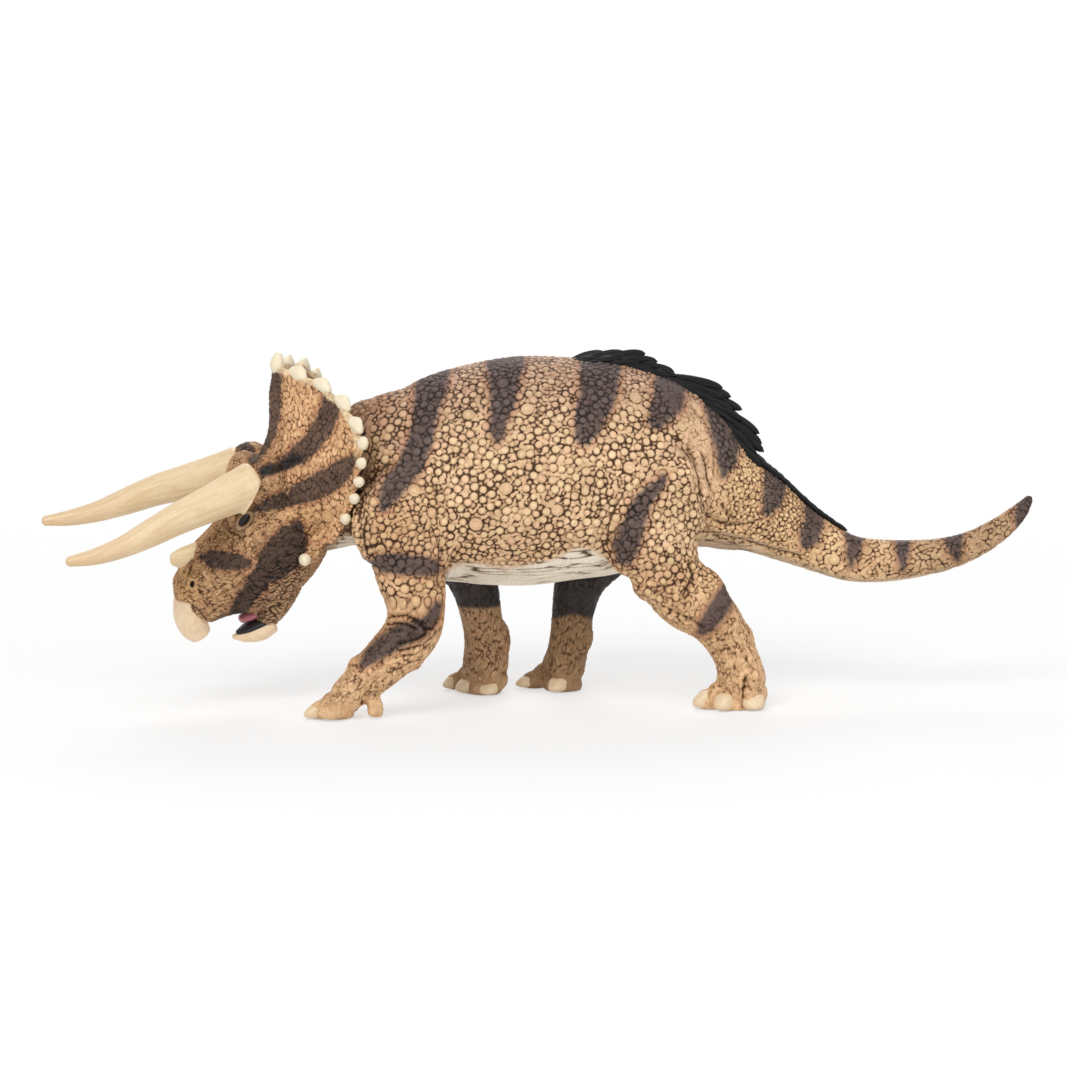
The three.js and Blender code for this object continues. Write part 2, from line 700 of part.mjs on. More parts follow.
/** The frill's sheet as a solid between its face and its back. */
function frillSheet(grow) {
  const columns = 4 * (FRILL_RIM.length - 1);
  const rows = FRILL_ROWS;
  const step = SLOPE_STEP;
  const front = [];
  const back = [];
  for (let i = 0; i <= columns; i += 1) {
    for (let j = 0; j <= rows; j += 1) {
      const [u, v] = [i / columns, j / rows];
      const point = frillPoint(u, v);
      const acrossStep = frillPoint(Math.min(1, u + step), v).sub(
        frillPoint(Math.max(0, u - step), v),
      );
      const outStep = frillPoint(u, Math.min(1, v + step)).sub(
        frillPoint(u, Math.max(0, v - step)),
      );
      const backwards = acrossStep.cross(outStep).normalize();
      if (backwards.x < 0) backwards.negate();
      const thickness = THREE.MathUtils.lerp(FRILL_ROOT_THICKNESS, FRILL_RIM_THICKNESS, v);
      front.push(point.clone().addScaledVector(backwards, -grow));
      back.push(point.clone().addScaledVector(backwards, thickness + grow));
    }
  }
  const stride = rows + 1;
  const id = (i, j, side) => side * front.length + i * stride + j;
  const index = [];
  const quad = (a, b, c, d) => index.push(a, b, c, a, c, d);
  for (let i = 0; i < columns; i += 1) {
    for (let j = 0; j < rows; j += 1) {
      quad(id(i, j, 0), id(i, j + 1, 0), id(i + 1, j + 1, 0), id(i + 1, j, 0));
      quad(id(i, j, 1), id(i + 1, j, 1), id(i + 1, j + 1, 1), id(i, j + 1, 1));
    }
    quad(id(i, 0, 0), id(i + 1, 0, 0), id(i + 1, 0, 1), id(i, 0, 1));
    quad(id(i, rows, 0), id(i, rows, 1), id(i + 1, rows, 1), id(i + 1, rows, 0));
  }
  for (let j = 0; j < rows; j += 1) {
    quad(id(0, j, 0), id(0, j, 1), id(0, j + 1, 1), id(0, j + 1, 0));
    quad(id(columns, j, 0), id(columns, j + 1, 0), id(columns, j + 1, 1), id(columns, j, 1));
  }
  const geometry = new THREE.BufferGeometry().setFromPoints([...front, ...back]);
  geometry.setIndex(index);
  return solidOf(geometry);
}

/** The studs along the frill's rim, the middle one larger. */
function rimStuds(grow) {
  const studs = [];
  for (let k = -STUDS_EACH_SIDE; k <= STUDS_EACH_SIDE; k += 1) {
    const across = 0.5 + k * STUD_SPACING;
    const rim = frillPoint(across, 1);
    const outwards = rim.clone().sub(frillPoint(across, 1 - SLOPE_STEP)).normalize();
    const middle = rim.addScaledVector(outwards, STUD_OVERHANG);
    middle.x += FRILL_RIM_THICKNESS / 2;
    const scale = k === 0 ? MIDDLE_STUD_SCALE : 1;
    const ball = new THREE.SphereGeometry(1, STUD_SIDES, STUD_RINGS);
    ball.scale(STUD_WIDTH * scale + grow, STUD_LENGTH * scale + grow, STUD_WIDTH * scale + grow);
    ball.applyQuaternion(
      new THREE.Quaternion().setFromUnitVectors(new THREE.Vector3(0, 1, 0), outwards),
    );
    ball.translate(middle.x, middle.y, middle.z);
    studs.push(solidOf(ball));
  }
  return studs;
}

const frillForm = (grow) => joined([frillSheet(grow), ...rimStuds(grow)]);

/** A small lofted head piece, with its root and tip bulging by the two caps. */
function smallLoft({ sections, caps: [startCap, endCap] }, grow = 0) {
  return loft(new Spine(sections), { sides: SMALL_SIDES, startCap, endCap, grow });
}

/** The same piece for the other side of the head. */
function mirrored({ sections, ...rest }, side) {
  return { ...rest, sections: sections.map(([x, y, ...sizes]) => [x, side * y, ...sizes]) };
}

/** What is left of a form once it is clear of its neighbours. */
function clearOf(form, neighbours) {
  return mainBody(neighbours.reduce((rest, neighbour) => rest.subtract(neighbour), form));
}

/** A head piece clear of what carries it, with a peg down its root, and the hole for the peg. */
function pegged(shape, carrier) {
  const [start, next] = shape.sections.map(([x, y, z]) => new THREE.Vector3(x, y, z));
  const back = start.clone().sub(next).normalize();
  const { radius, length } = shape.peg;
  const key = peg(next, start.addScaledVector(back, length), radius);
  return { solid: clearOf(smallLoft(shape), [carrier]).add(key.solid), hole: key.hole };
}

function makeHead() {
  const skullClear = skullForm(GLUE_GAP);
  const jawClear = smallLoft(JAW, GLUE_GAP);
  const [leftHorn, rightHorn] = bothSides((side) => pegged(mirrored(HORN, side), skullClear));
  const noseHorn = pegged(NOSE_HORN, skullClear);
  const upperBeak = pegged(UPPER_BEAK, skullClear);
  const lowerBeak = pegged(LOWER_BEAK, jawClear);
  const hornsClear = bothSides((side) => smallLoft(mirrored(HORN, side), GLUE_GAP));
  const [inNeck, inHead] = HEAD_PEG_ENDS.map(([x, z]) => new THREE.Vector3(x, 0, z));
  const neckPeg = peg(inNeck, inHead, HEAD_PEG_RADIUS);
  const nostrils = bothSides((side) =>
    ellipsoid([NOSTRIL.x, side * NOSTRIL.y, NOSTRIL.z], Array(3).fill(NOSTRIL.radius)),
  );
  const pegHoles = [leftHorn, rightHorn, noseHorn, upperBeak, neckPeg].map(({ hole }) => hole);
  return {
    pieces: {
      head: clearOf(skullForm(0), [...pegHoles, jawClear, ...nostrils]),
      frill: clearOf(frillForm(0), [skullClear, ...hornsClear]),
      lower_jaw: smallLoft(JAW).subtract(lowerBeak.hole),
      tongue: clearOf(smallLoft(TONGUE), [skullClear, jawClear, smallLoft(LOWER_BEAK, GLUE_GAP)]),
      upper_beak: upperBeak.solid,
      lower_beak: lowerBeak.solid,
      brow_horn_left: leftHorn.solid,
      brow_horn_right: rightHorn.solid,
      nose_horn: noseHorn.solid,
    },
    skullClear,
    jawClear,
    neckPeg,
  };
}

const head = makeHead();

// Neck

function makeNeck() {
  const spine = new Spine(midline(NECK_SECTIONS));
  const form = loft(spine, { sides: NECK_SIDES, startCap: NECK_CAP, endCap: NECK_CAP });
  const trimmed = clearOf(form, [
    trunkClear,
    placedHead(head.skullClear),
    placedHead(head.jawClear),
    placedHead(frillForm(GLUE_GAP)),
  ]);
  const { middle, along } = spine.frame(NECK_PEG_START);
  const chestPeg = peg(middle, middle.clone().addScaledVector(along, NECK_PEG_LENGTH), NECK_PEG_RADIUS);
  return {
    solid: trimmed.add(chestPeg.solid).add(placedHead(head.neckPeg.solid)),
    hole: chestPeg.hole,
  };
}

const neck = makeNeck();

// Tail and torso

const tailPeg = peg(
  pastSeam(TAIL_PEG_ROOT),
  pastSeam(-TAIL_PEG_LENGTH),
  TAIL_PEG_RADIUS,
  PEG_FLAT,
);
const crestSlot = crestKeel(
  CREST_KEEL_HALF + GLUE_GAP,
  CREST_KEEL_DEPTH + GLUE_GAP,
  CREST_RIDGE_HEIGHT + GLUE_GAP,
);
const forwards = tailSeam.along.clone().negate();
const tail = trunk
  .subtract(beyond(pastSeam(GLUE_GAP / 2), forwards))
  .subtract(crestSlot)
  .add(tailPeg.solid);
const legHoles = Object.values(legs).map(({ hole }) => hole);
const shells = makeTorsoShells([...legHoles, neck.hole, tailPeg.hole, crestSlot]);

// Assembly

const COLOURS = {
  skin: 0xc9a884,
  hide: 0xb8905f,
  throat: 0x8b7c6e,
  horn: 0xeed4ab,
  beak: 0xe4c8a6,
  tongue: 0xa46470,
  crest: 0x26241f,
};

function material(colour, roughness) {
  return new THREE.MeshStandardMaterial({ color: COLOURS[colour], roughness, metalness: 0 });
}

function piece(name, solid, colour, roughness = 0.6) {
  const mesh = new THREE.Mesh(geometryOf(solid), material(colour, roughness));
  mesh.name = name;
  return mesh;
}

const HEAD_COLOURS = {
  head: "hide",
  frill: "hide",
  lower_jaw: "hide",
  tongue: "tongue",
  upper_beak: "beak",
  lower_beak: "beak",
  brow_horn_left: "horn",
  brow_horn_right: "horn",
  nose_horn: "horn",
};

const headGroup = new THREE.Group();
headGroup.applyMatrix4(headMatrix);
for (const [name, solid] of Object.entries(head.pieces)) {
  headGroup.add(piece(name, solid, HEAD_COLOURS[name]));
}

const figure = new THREE.Group();
figure.add(
  piece("torso_left_shell", shells.left, "skin"),
  piece("torso_right_shell", shells.right, "skin"),
  piece("neck", neck.solid, "throat"),
  piece("tail", tail, "skin"),
  piece("quill_crest", makeCrest(), "crest", 0.5),
  headGroup,
);
for (const [name, { solid }] of Object.entries(legs)) figure.add(piece(name, solid, "skin"));

// The origin is under the middle of the whole figure, on the ground
const box = new THREE.Box3().setFromObject(figure);
figure.position.set(-(box.min.x + box.max.x) / 2, -(box.min.y + box.max.y) / 2, -box.min.z);

const part = new THREE.Group();
part.add(figure);

export default part;
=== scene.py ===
"""Looks of the horned dinosaur figure: pebbled, striped skin, horns, beak, studs, hooves and crest."""

import math

import bpy
import numpy as np
from mathutils import Matrix, Vector, kdtree


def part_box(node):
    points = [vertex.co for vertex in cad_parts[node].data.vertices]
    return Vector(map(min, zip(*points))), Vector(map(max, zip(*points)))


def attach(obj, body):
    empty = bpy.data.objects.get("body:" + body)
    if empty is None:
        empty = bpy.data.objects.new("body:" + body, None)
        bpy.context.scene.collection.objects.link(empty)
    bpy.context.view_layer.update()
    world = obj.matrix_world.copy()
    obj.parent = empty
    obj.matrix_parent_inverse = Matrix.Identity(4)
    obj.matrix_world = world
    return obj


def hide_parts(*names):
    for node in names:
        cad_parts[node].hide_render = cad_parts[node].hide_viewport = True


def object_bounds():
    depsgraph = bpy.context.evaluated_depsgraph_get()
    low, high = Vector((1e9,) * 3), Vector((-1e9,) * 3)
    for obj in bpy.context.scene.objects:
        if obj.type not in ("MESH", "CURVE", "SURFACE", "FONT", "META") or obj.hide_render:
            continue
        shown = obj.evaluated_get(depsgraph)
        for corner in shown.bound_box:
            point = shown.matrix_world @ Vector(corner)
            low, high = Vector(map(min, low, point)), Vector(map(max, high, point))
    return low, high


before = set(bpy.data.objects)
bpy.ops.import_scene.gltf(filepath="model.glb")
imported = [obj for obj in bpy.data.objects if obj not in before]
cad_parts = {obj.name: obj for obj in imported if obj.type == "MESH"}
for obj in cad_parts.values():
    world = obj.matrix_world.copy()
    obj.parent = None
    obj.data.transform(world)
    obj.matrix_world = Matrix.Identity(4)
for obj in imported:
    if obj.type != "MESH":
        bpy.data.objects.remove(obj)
cad_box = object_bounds()

BODY_VOXEL = 0.35
HEAD_VOXEL = 0.27
rng = np.random.default_rng(11)

# ---------------------------------------------------------------- forms, in mm, facing -X

TRUNK = [
    (-42, 56.3, 20, 13), (-37, 56.3, 22.2, 16.6), (-29, 56.2, 24.4, 19.8), (-17, 57.5, 27.2, 22.2),
    (-3, 58.6, 28.7, 23.5), (10, 59.1, 27.8, 23), (21, 58.9, 26.6, 21.3), (30, 58, 24, 19),
    (37.5, 55.9, 20.1, 16.2), (43.5, 53.2, 16, 13.4), (49.4, 50.3, 12.7, 10.8), (56.6, 47.4, 10.6, 9),
    (64, 43.1, 8.4, 7.4), (72.3, 38.8, 6.8, 6.2), (80, 35.6, 5.9, 5.2), (88, 34.8, 5.5, 4.6),
    (96, 35.1, 4.9, 4.1), (104, 36.2, 4.3, 3.6), (111.5, 38.6, 3.7, 3.1), (118, 42.3, 3.2, 2.6),
    (123, 46.5, 2.4, 1.9), (125.8, 50, 1.3, 1),
]
TRUNK_PINCH = 0.13
TAIL_SEAM = 9
NECK = [(-60, 50.5, 12.5, 10), (-54, 52.6, 14, 11), (-48, 55, 14.8, 11.6), (-42, 57.8, 15.4, 12), (-36, 60, 15, 12)]

# each leg: sections (x, y, z, half fore and aft, half across), sole and dew claw (place, half sizes, turns),
# hooves (x, y, heading, length, width, height)
LEGS = {
    "front_left_leg": dict(
        sections=[(-31, -10.5, 64.5, 9, 6), (-32.2, -13, 56, 11, 8), (-32, -15, 46, 10.8, 8.6),
                  (-31.6, -16.2, 36, 9, 7.6),
                  (-30.3, -16.8, 27.5, 7.3, 6.7), (-31.6, -17, 20.8, 7, 6.2), (-37.8, -17, 14.2, 6.1, 5.5),
                  (-43.6, -17, 8.8, 5.1, 5.2), (-48.2, -16.4, 5, 4, 5.4)],
        sole=((-49.8, -15.4, 1.2), (4.2, 5.2, 3.2)), dew=((-40.7, -18.8, 3.7), (1.9, 1.8, 3.9), 10, -20),
        hooves=[(-56.3, -17.8, 6, 4, 4.8, 3.6), (-55.4, -13.4, -6, 3.4, 4, 3.2), (-51.6, -10.2, -32, 3, 3.6, 3)]),
    "front_right_leg": dict(
        sections=[(-30, 10.5, 64, 9, 6), (-28.4, 13.4, 54, 10.6, 8), (-23.4, 15, 44.5, 9.6, 8),
                  (-17.4, 14.6, 35.6, 7.6, 7),
                  (-13.8, 13.8, 28, 6.1, 6.2), (-12.2, 13.8, 21, 5.4, 5.6), (-11.4, 14.2, 14.5, 5, 5.2),
                  (-10.8, 14.6, 8.6, 5.9, 6), (-11.6, 15, 4.8, 5.4, 6)],
        sole=((-11.4, 15.2, 1.3), (4.8, 5.6, 3.6)), dew=None,
        hooves=[(-19.9, 20.2, -10, 3.4, 4, 3.7), (-16.8, 14, 18, 3.8, 4.9, 4), (-10.9, 9.9, 60, 3.6, 5, 3.6)]),
    "hind_left_leg": dict(
        sections=[(27, -9.5, 61, 12, 7), (29, -12, 50, 13, 9.4), (29.9, -13.6, 41, 10.4, 9), (32.4, -14, 34.4, 8.6, 8),
                  (37.2, -14, 28.2, 8.2, 7), (43.2, -13.7, 23.4, 6.9, 6.2), (47.2, -13.4, 18, 6, 5.4),
                  (49.8, -13, 12.6, 5.6, 5.3), (51, -12.6, 7.8, 6.1, 5.8), (50.6, -12.2, 4.4, 6.2, 5.6)],
        sole=((50.2, -12, 1.3), (5.6, 4.8, 3.6)), dew=None,
        hooves=[(40.6, -12.6, -4, 3.8, 4.5, 4.5), (45.6, -16.8, 48, 3.8, 4.6, 4.6), (53.4, -16.8, 78, 3.8, 5.8, 4.3),
                (41.2, -7.6, -28, 3.4, 4, 3.4)]),
    "hind_right_leg": dict(
        sections=[(27, 9.5, 60, 12, 7), (24.6, 13, 49, 12.4, 9.4), (19, 14.4, 38.4, 9.8, 8.4),
                  (13.6, 13.6, 29.6, 6.9, 7),
                  (11.7, 14, 22.2, 5.6, 5.9), (10.9, 15.2, 15, 5.2, 5.4), (10.2, 16.6, 9.4, 5.2, 5.8),
                  (9.3, 17.6, 5.6, 5.6, 5.8)],
        sole=((9.2, 17.6, 1.3), (5, 5.2, 3.6)), dew=None,
        hooves=[(-0.6, 20.2, -4, 4.6, 4.2, 3.6), (6.9, 12.6, 46, 3.8, 5, 4.1), (3.6, 22.2, -34, 3, 3.2, 3)]),
}

# Head pieces, in the head's own frame
HEAD_PLACE, HEAD_TURN, HEAD_ROLL = (-53.6, 0, 53), 10, 6.5
SKULL = [(-1.6, 6.6, 6, 6.5), (-4.6, 1, 13, 10.6), (-9.3, -4, 14.5, 12.3), (-13, -11, 14.6, 12),
         (-17.6, -15.8, 13.6, 10.6),
         (-25, -20.2, 10.9, 8.2), (-30.6, -24.8, 7.8, 6.4)]
FRILL_RIM = [(-11.8, 0, 34), (-7.6, 6.3, 33.2), (-2.6, 11.6, 31.2), (1.6, 16.4, 27.6), (4.2, 20.4, 22.9),
             (4.8, 23, 18.3),
             (4.4, 23.6, 13.4), (4.1, 22.6, 8.6), (3.5, 20.6, 4), (2.1, 17.4, -1.8), (-0.6, 13, -9)]
FRILL_ROOT = [(-19.4, 0, 10.6), (-15.4, 5.6, 7.6), (-11, 8.6, 2.8), (-8.6, 9.2, -1), (-6.8, 9, -4.6), (-5.2, 8, -9)]
HORN = [(-18.8, 8.6, 5, 6, 5.1), (-24, 10.2, 3.6, 5.1, 4.7), (-31.2, 12.6, 1.3, 4.4, 4.1),
        (-37.9, 14.8, -0.9, 3.9, 3.6),
        (-45.7, 16.8, -4.2, 3.3, 3.1), (-52.1, 18.2, -6.7, 2.6, 2.5), (-58.7, 19.4, -8.4, 2, 2),
        (-64.9, 20.2, -9.2, 1.3, 1.3)]
NOSE_HORN = [(-30.8, 0, -15, 4.2, 3), (-34.2, 0, -14.9, 2.8, 2.2), (-36.4, 0, -15, 1.7, 1.4)]
UPPER_BEAK = [(-32.2, 0, -25.6, 4, 4.4), (-32, 0, -29.4, 4.1, 4.2), (-30.9, 0, -32.4, 3.8, 3.5),
              (-29.4, 0, -34.5, 2.9, 2.6)]
JAW = [(-6.5, 0, -17.5, 3.6, 6.5), (-8.6, 0, -21.8, 4.6, 7.2), (-11, 0, -26.8, 4.3, 6.2), (-13.4, 0, -30.8, 3.4, 4.8)]
LOWER_BEAK = [(-11.6, 0, -32.2, 2.6, 4.4), (-14.6, 0, -33.9, 2.9, 4.1), (-17.9, 0, -35.2, 1.9, 2.9),
              (-20.7, 0, -35.6, 0.7, 1)]
MOUTH = [(-10.8, 0, -29.6, 1.6, 4.1), (-14.3, 0, -31.8, 1.6, 4), (-17.6, 0, -33.6, 1.3, 2.9), (-20, 0, -34.7, 0.7, 1.2)]
TONGUE = [(-12.4, 0, -27.4, 1.2, 2.6), (-16, 0, -29.8, 1.3, 2.6), (-18.8, 0, -30.9, 1.1, 1.9)]


def unit(v):
    return v / np.maximum(np.linalg.norm(v, axis=-1, keepdims=True), 1e-9)


def catmull(points, t):
    """Points of a uniform Catmull-Rom curve through points, for t from 0 to 1."""
    p = np.asarray(points, float)
    p = np.vstack([2 * p[0] - p[1], p, 2 * p[-1] - p[-2]])
    spans = len(p) - 3
    s = np.clip(np.asarray(t, float), 0, 1) * spans
    i = np.minimum(s.astype(int), spans - 1)
    w = (s - i)[..., None]
    a, b, c, d = p[i], p[i + 1], p[i + 2], p[i + 3]
    return 0.5 * (2 * b + (c - a) * w + (2 * a - 5 * b + 4 * c - d) * w**2 + (3 * b - a - 3 * c + d) * w**3)


class Spine:
    """A curve through sections (x, y, z, half up, half side)."""

    def __init__(self, sections, pinch=0.0, count=240):
        if len(sections[0]) == 4:
            sections = [(x, 0, z, up, side) for x, z, up, side in sections]
        self.pinch = pinch
        self.t = np.linspace(0, 1, count)
        data = catmull(sections, self.t)
        self.middle, self.half = data[:, :3], data[:, 3:]
        step = 1e-3
        ahead, behind = catmull(sections, self.t + step), catmull(sections, self.t - step)
        self.along = unit(ahead[:, :3] - behind[:, :3])
        y = np.array([0.0, 1, 0])
        self.side = unit(y - self.along * self.along[:, 1:2])
        self.up = np.cross(self.along, self.side)

    def beside(self, p):
        """The curve's nearest step to each of points p, and how far p is from it along, up and to the side."""
        batch = 20000
        step = np.concatenate([((p[a:a + batch, None] - self.middle) ** 2).sum(2).argmin(1)
                               for a in range(0, len(p), batch)])
        r = p - self.middle[step]
        return step, *((r * way[step]).sum(1) for way in (self.along, self.up, self.side))

    def locate(self, p):
        """(t, distance, angle) of points p: t from 0 to 1 along the curve, distance in mm off the skin."""
        step, along, up, side = self.beside(p)
        up_share = up / self.half[step, 0]
        side_share = side / (self.half[step, 1] * (1 - self.pinch * np.clip(up_share, -1, 1)))
        at_end = (step == 0) | (step == len(self.t) - 1)
        end_share = np.where(at_end, along / self.half[step].min(1), 0)
        share = np.sqrt(up_share**2 + side_share**2 + end_share**2)
        off = (share - 1) * np.sqrt(up**2 + side**2 + along**2) / np.maximum(share, 1e-3)
        return self.t[step], off, np.arctan2(up_share, side_share)

    def unrolled(self, p, squeeze):
        """Points as squeezed distance along the curve, then distance up and to the side of it."""
        arc = np.concatenate([[0], np.cumsum(np.linalg.norm(np.diff(self.middle, axis=0), axis=1))])
        step, along, up, side = self.beside(p)
        return np.stack([squeeze * (arc[step] + along), up, side], 1)


def grid_solid(rings, start, end):
    """Closed solid through rings of points, with a pole at each end."""
    rings = np.asarray(rings, float)
    n, m = rings.shape[:2]
    faces = [(i * m + j, i * m + (j + 1) % m, (i + 1) * m + (j + 1) % m, (i + 1) * m + j)
             for i in range(n - 1) for j in range(m)]
    for j in range(m):
        k = (j + 1) % m
        faces += [(k, j, n * m), (n * m + 1, (n - 1) * m + j, (n - 1) * m + k)]
    return np.vstack([rings.reshape(-1, 3), start, end]), faces


CAP_RINGS = 6


def loft(sections, sides, caps, pinch=0.0, count=120):
    """A solid round the curve through sections, with a rounded cap of a given height at each end."""
    s = Spine(sections, pinch, count)
    angle = np.linspace(0, 2 * np.pi, sides, endpoint=False)
    sin, cos = np.sin(angle), np.cos(angle)

    def ring(i, scale, shift):
        up, side = s.half[i, 0] * scale * sin, s.half[i, 1] * scale * cos * (1 - pinch * sin)
        return s.middle[i] + s.along[i] * shift + up[:, None] * s.up[i] + side[:, None] * s.side[i]

    bends = np.pi / 2 * np.arange(1, CAP_RINGS) / CAP_RINGS
    rings = [ring(0, math.cos(b), -caps[0] * math.sin(b)) for b in bends[::-1]]
    rings += [ring(i, 1, 0) for i in range(count)]
    rings += [ring(-1, math.cos(b), caps[1] * math.sin(b)) for b in bends]
    return grid_solid(rings, s.middle[0] - s.along[0] * caps[0], s.middle[-1] + s.along[-1] * caps[1])


def ellipsoid(centre, half, heading=0.0, tilt=0.0, sides=28, rings=16):
    """Ellipsoid turned by heading about Z and tilted about its own Y."""
    polar = np.pi * np.arange(1, rings) / rings
    angle = np.linspace(0, 2 * np.pi, sides, endpoint=False)
    pts = np.array([[(math.cos(p), math.sin(p) * math.cos(a), math.sin(p) * math.sin(a)) for a in angle]
                    for p in polar])
    half = np.array(half, float)
    turn = np.array(Matrix.Rotation(math.radians(heading), 3, "Z") @ Matrix.Rotation(math.radians(tilt), 3, "Y"))
    place = lambda p: (np.asarray(p) * half) @ turn.T + np.array(centre, float)
    return grid_solid(place(pts), place([1.0, 0, 0]), place([-1.0, 0, 0]))


def outward(solid):
    """The solid with its faces turned outwards."""
    points, faces = solid
    tri = np.array([f[:3] for f in faces] + [(f[0], f[2], f[3]) for f in faces if len(f) == 4])
    a, b, c = points[tri[:, 0]], points[tri[:, 1]], points[tri[:, 2]]
    if (a * np.cross(b, c)).sum() < 0:
        faces = [f[::-1] for f in faces]
    return points, faces


def join(solids):
    """Several solids as one, with their faces turned outwards."""
    points, faces, start = [], [], 0
    for solid in solids:
        p, f = outward(solid)
        points.append(p)
        faces += [tuple(int(i) + start for i in g) for g in f]
        start += len(p)
    return np.vstack(points), faces


class Skin:
    """A fine quad mesh with numpy arrays for its points, faces and edges."""

    def __init__(self, solids, voxel):
        points, faces = join(solids)
        mesh = bpy.data.meshes.new("form")
        mesh.from_pydata(points.tolist(), [], faces)
        obj = bpy.data.objects.new("form", mesh)
        bpy.context.scene.collection.objects.link(obj)
        remesh = obj.modifiers.new("remesh", "REMESH")
        remesh.mode = "VOXEL"
        remesh.voxel_size = voxel
        remesh.adaptivity = 0
        got = obj.evaluated_get(bpy.context.evaluated_depsgraph_get()).to_mesh()
        self.co = np.zeros(len(got.vertices) * 3)
        got.vertices.foreach_get("co", self.co)
        self.co = self.co.reshape(-1, 3)
        loops = np.zeros(len(got.loops), int)
        got.loops.foreach_get("vertex_index", loops)
        self.faces = loops.reshape(-1, 4)
        bpy.data.objects.remove(obj)
        e = np.vstack([self.faces[:, [i, (i + 1) % 4]] for i in range(4)])
        self.edges = np.unique(np.sort(e, 1), axis=0)
        self.n = len(self.co)

    def spread(self, values, rounds=1):
        """Values after some rounds in which each point takes the mean of its neighbours."""
        a, b = self.edges.T
        degree = np.maximum(np.bincount(a, minlength=self.n) + np.bincount(b, minlength=self.n), 1)
        v = values if values.ndim == 2 else values[:, None]
        for _ in range(rounds):
            v = np.stack([np.bincount(a, column[b], self.n) + np.bincount(b, column[a], self.n) for column in v.T], 1)
            v /= degree[:, None]
        return v if values.ndim == 2 else v[:, 0]

    def smooth(self, weight, rounds):
        """Moves each point by its weight towards the mean of its neighbours."""
        for _ in range(rounds):
            self.co += weight[:, None] * (self.spread(self.co) - self.co)

    def normals(self):
        p = self.co[self.faces]
        n = np.cross(p[:, 2] - p[:, 0], p[:, 3] - p[:, 1])
        out = np.stack([sum(np.bincount(self.faces[:, i], n[:, k], self.n) for i in range(4)) for k in range(3)], 1)
        return unit(out)


# ---------------------------------------------------------------- the photo's view

AZIMUTH, ELEVATION, DISTANCE = math.radians(-5), math.radians(8), 1000.0
STEPS, MIDDLE = 4, 533  # the view's steps in a millimetre, and where its middle is in them
TARGET = np.array([0, 0, 42.9])
BACK = np.array([math.sin(AZIMUTH) * math.cos(ELEVATION), -math.cos(AZIMUTH) * math.cos(ELEVATION),
                 math.sin(ELEVATION)])
RIGHT = np.array([math.cos(AZIMUTH), math.sin(AZIMUTH), 0])
UP = np.array([-math.sin(AZIMUTH) * math.sin(ELEVATION), math.cos(AZIMUTH) * math.sin(ELEVATION), math.cos(ELEVATION)])


def seen(p):
    """Where points show in the view, in steps of a quarter millimetre from its top left corner."""
    q = p - TARGET
    k = DISTANCE / (DISTANCE - q @ BACK) * STEPS
    return np.stack([MIDDLE + q @ RIGHT * k, MIDDLE - q @ UP * k], 1)


def at_seen(across, down, y):
    """The place that shows at (across, down) in the view when its y is known."""
    k, x, z = STEPS, 0.0, 0.0
    for _ in range(4):
        right, up = (across - MIDDLE) / k, (MIDDLE - down) / k
        x = (right - RIGHT[1] * y) / RIGHT[0]
        z = TARGET[2] + (up - UP[0] * x - UP[1] * y) / UP[2]
        k = DISTANCE / (DISTANCE - (np.array([x, y, z]) - TARGET) @ BACK) * STEPS
    return np.array([x, y, z])


head_matrix = np.array(Matrix.Translation(HEAD_PLACE) @ Matrix.Rotation(math.radians(HEAD_TURN), 4, "Z")
                       @ Matrix.Rotation(math.radians(HEAD_ROLL), 4, "X"))


def from_head(p):
    """Points of the head's own frame in the figure's."""
    return np.asarray(p) @ head_matrix[:3, :3].T + head_matrix[:3, 3]


def near_side(p):
    """Points mirrored to the side that faces the camera."""
    return np.stack([p[:, 0], -np.abs(p[:, 1]), p[:, 2]], 1)


def smoothstep(a, b, x):
    t = np.clip((x - a) / (b - a), 0, 1)
    return t * t * (3 - 2 * t)


def stroke(flat, points):
    """How deep seen points are inside a brush stroke through (x, y, half width) points; below 0 outside it."""
    margin = 12.0
    best = np.full(len(flat), -1e9)
    pts = np.array(points, float)
    lo, hi = pts[:, :2].min(0) - pts[:, 2].max() - margin, pts[:, :2].max(0) + pts[:, 2].max() + margin
    near = np.flatnonzero(((flat > lo) & (flat < hi)).all(1))
    q = flat[near]
    inside = np.full(len(near), -1e9)
    for (ax, ay, ar), (bx, by, br) in zip(pts[:-1], pts[1:]):
        d = np.array([bx - ax, by - ay])
        t = np.clip(((q - [ax, ay]) @ d) / max(d @ d, 1e-9), 0, 1)
        gap = np.hypot(q[:, 0] - ax - d[0] * t, q[:, 1] - ay - d[1] * t)
        inside = np.maximum(inside, ar + (br - ar) * t - gap)
    best[near] = inside
    return best


def painted_with(flat, strokes):
    """Depth inside the nearest of several (stroke, where it may be) pairs."""
    depth = np.full(len(flat), -1e9)
    for line, where in strokes:
        depth = np.maximum(depth, np.where(where, stroke(flat, line), -1e9))
    return depth


def line_distance(flat, points):
    """Distance of seen points to a line."""
    best = np.full(len(flat), 1e9)
    pts = np.array(points, float)
    for a, b in zip(pts[:-1], pts[1:]):
        d = b - a
        t = np.clip(((flat - a) @ d) / max(d @ d, 1e-9), 0, 1)
        best = np.minimum(best, np.hypot(*(flat - a - t[:, None] * d).T))
    return best


def spot(flat, centre, half):
    """A soft oval spot in the view, 1 in its middle."""
    return np.exp(-(((flat - centre) / half) ** 2).sum(1))


def waves(p, *terms):
    """A sum of waves (x, y, z, phase) over points p, for patches of no regular shape."""
    return sum(np.sin(p @ np.array(way) + phase) for *way, phase in terms)


# ---------------------------------------------------------------- scales

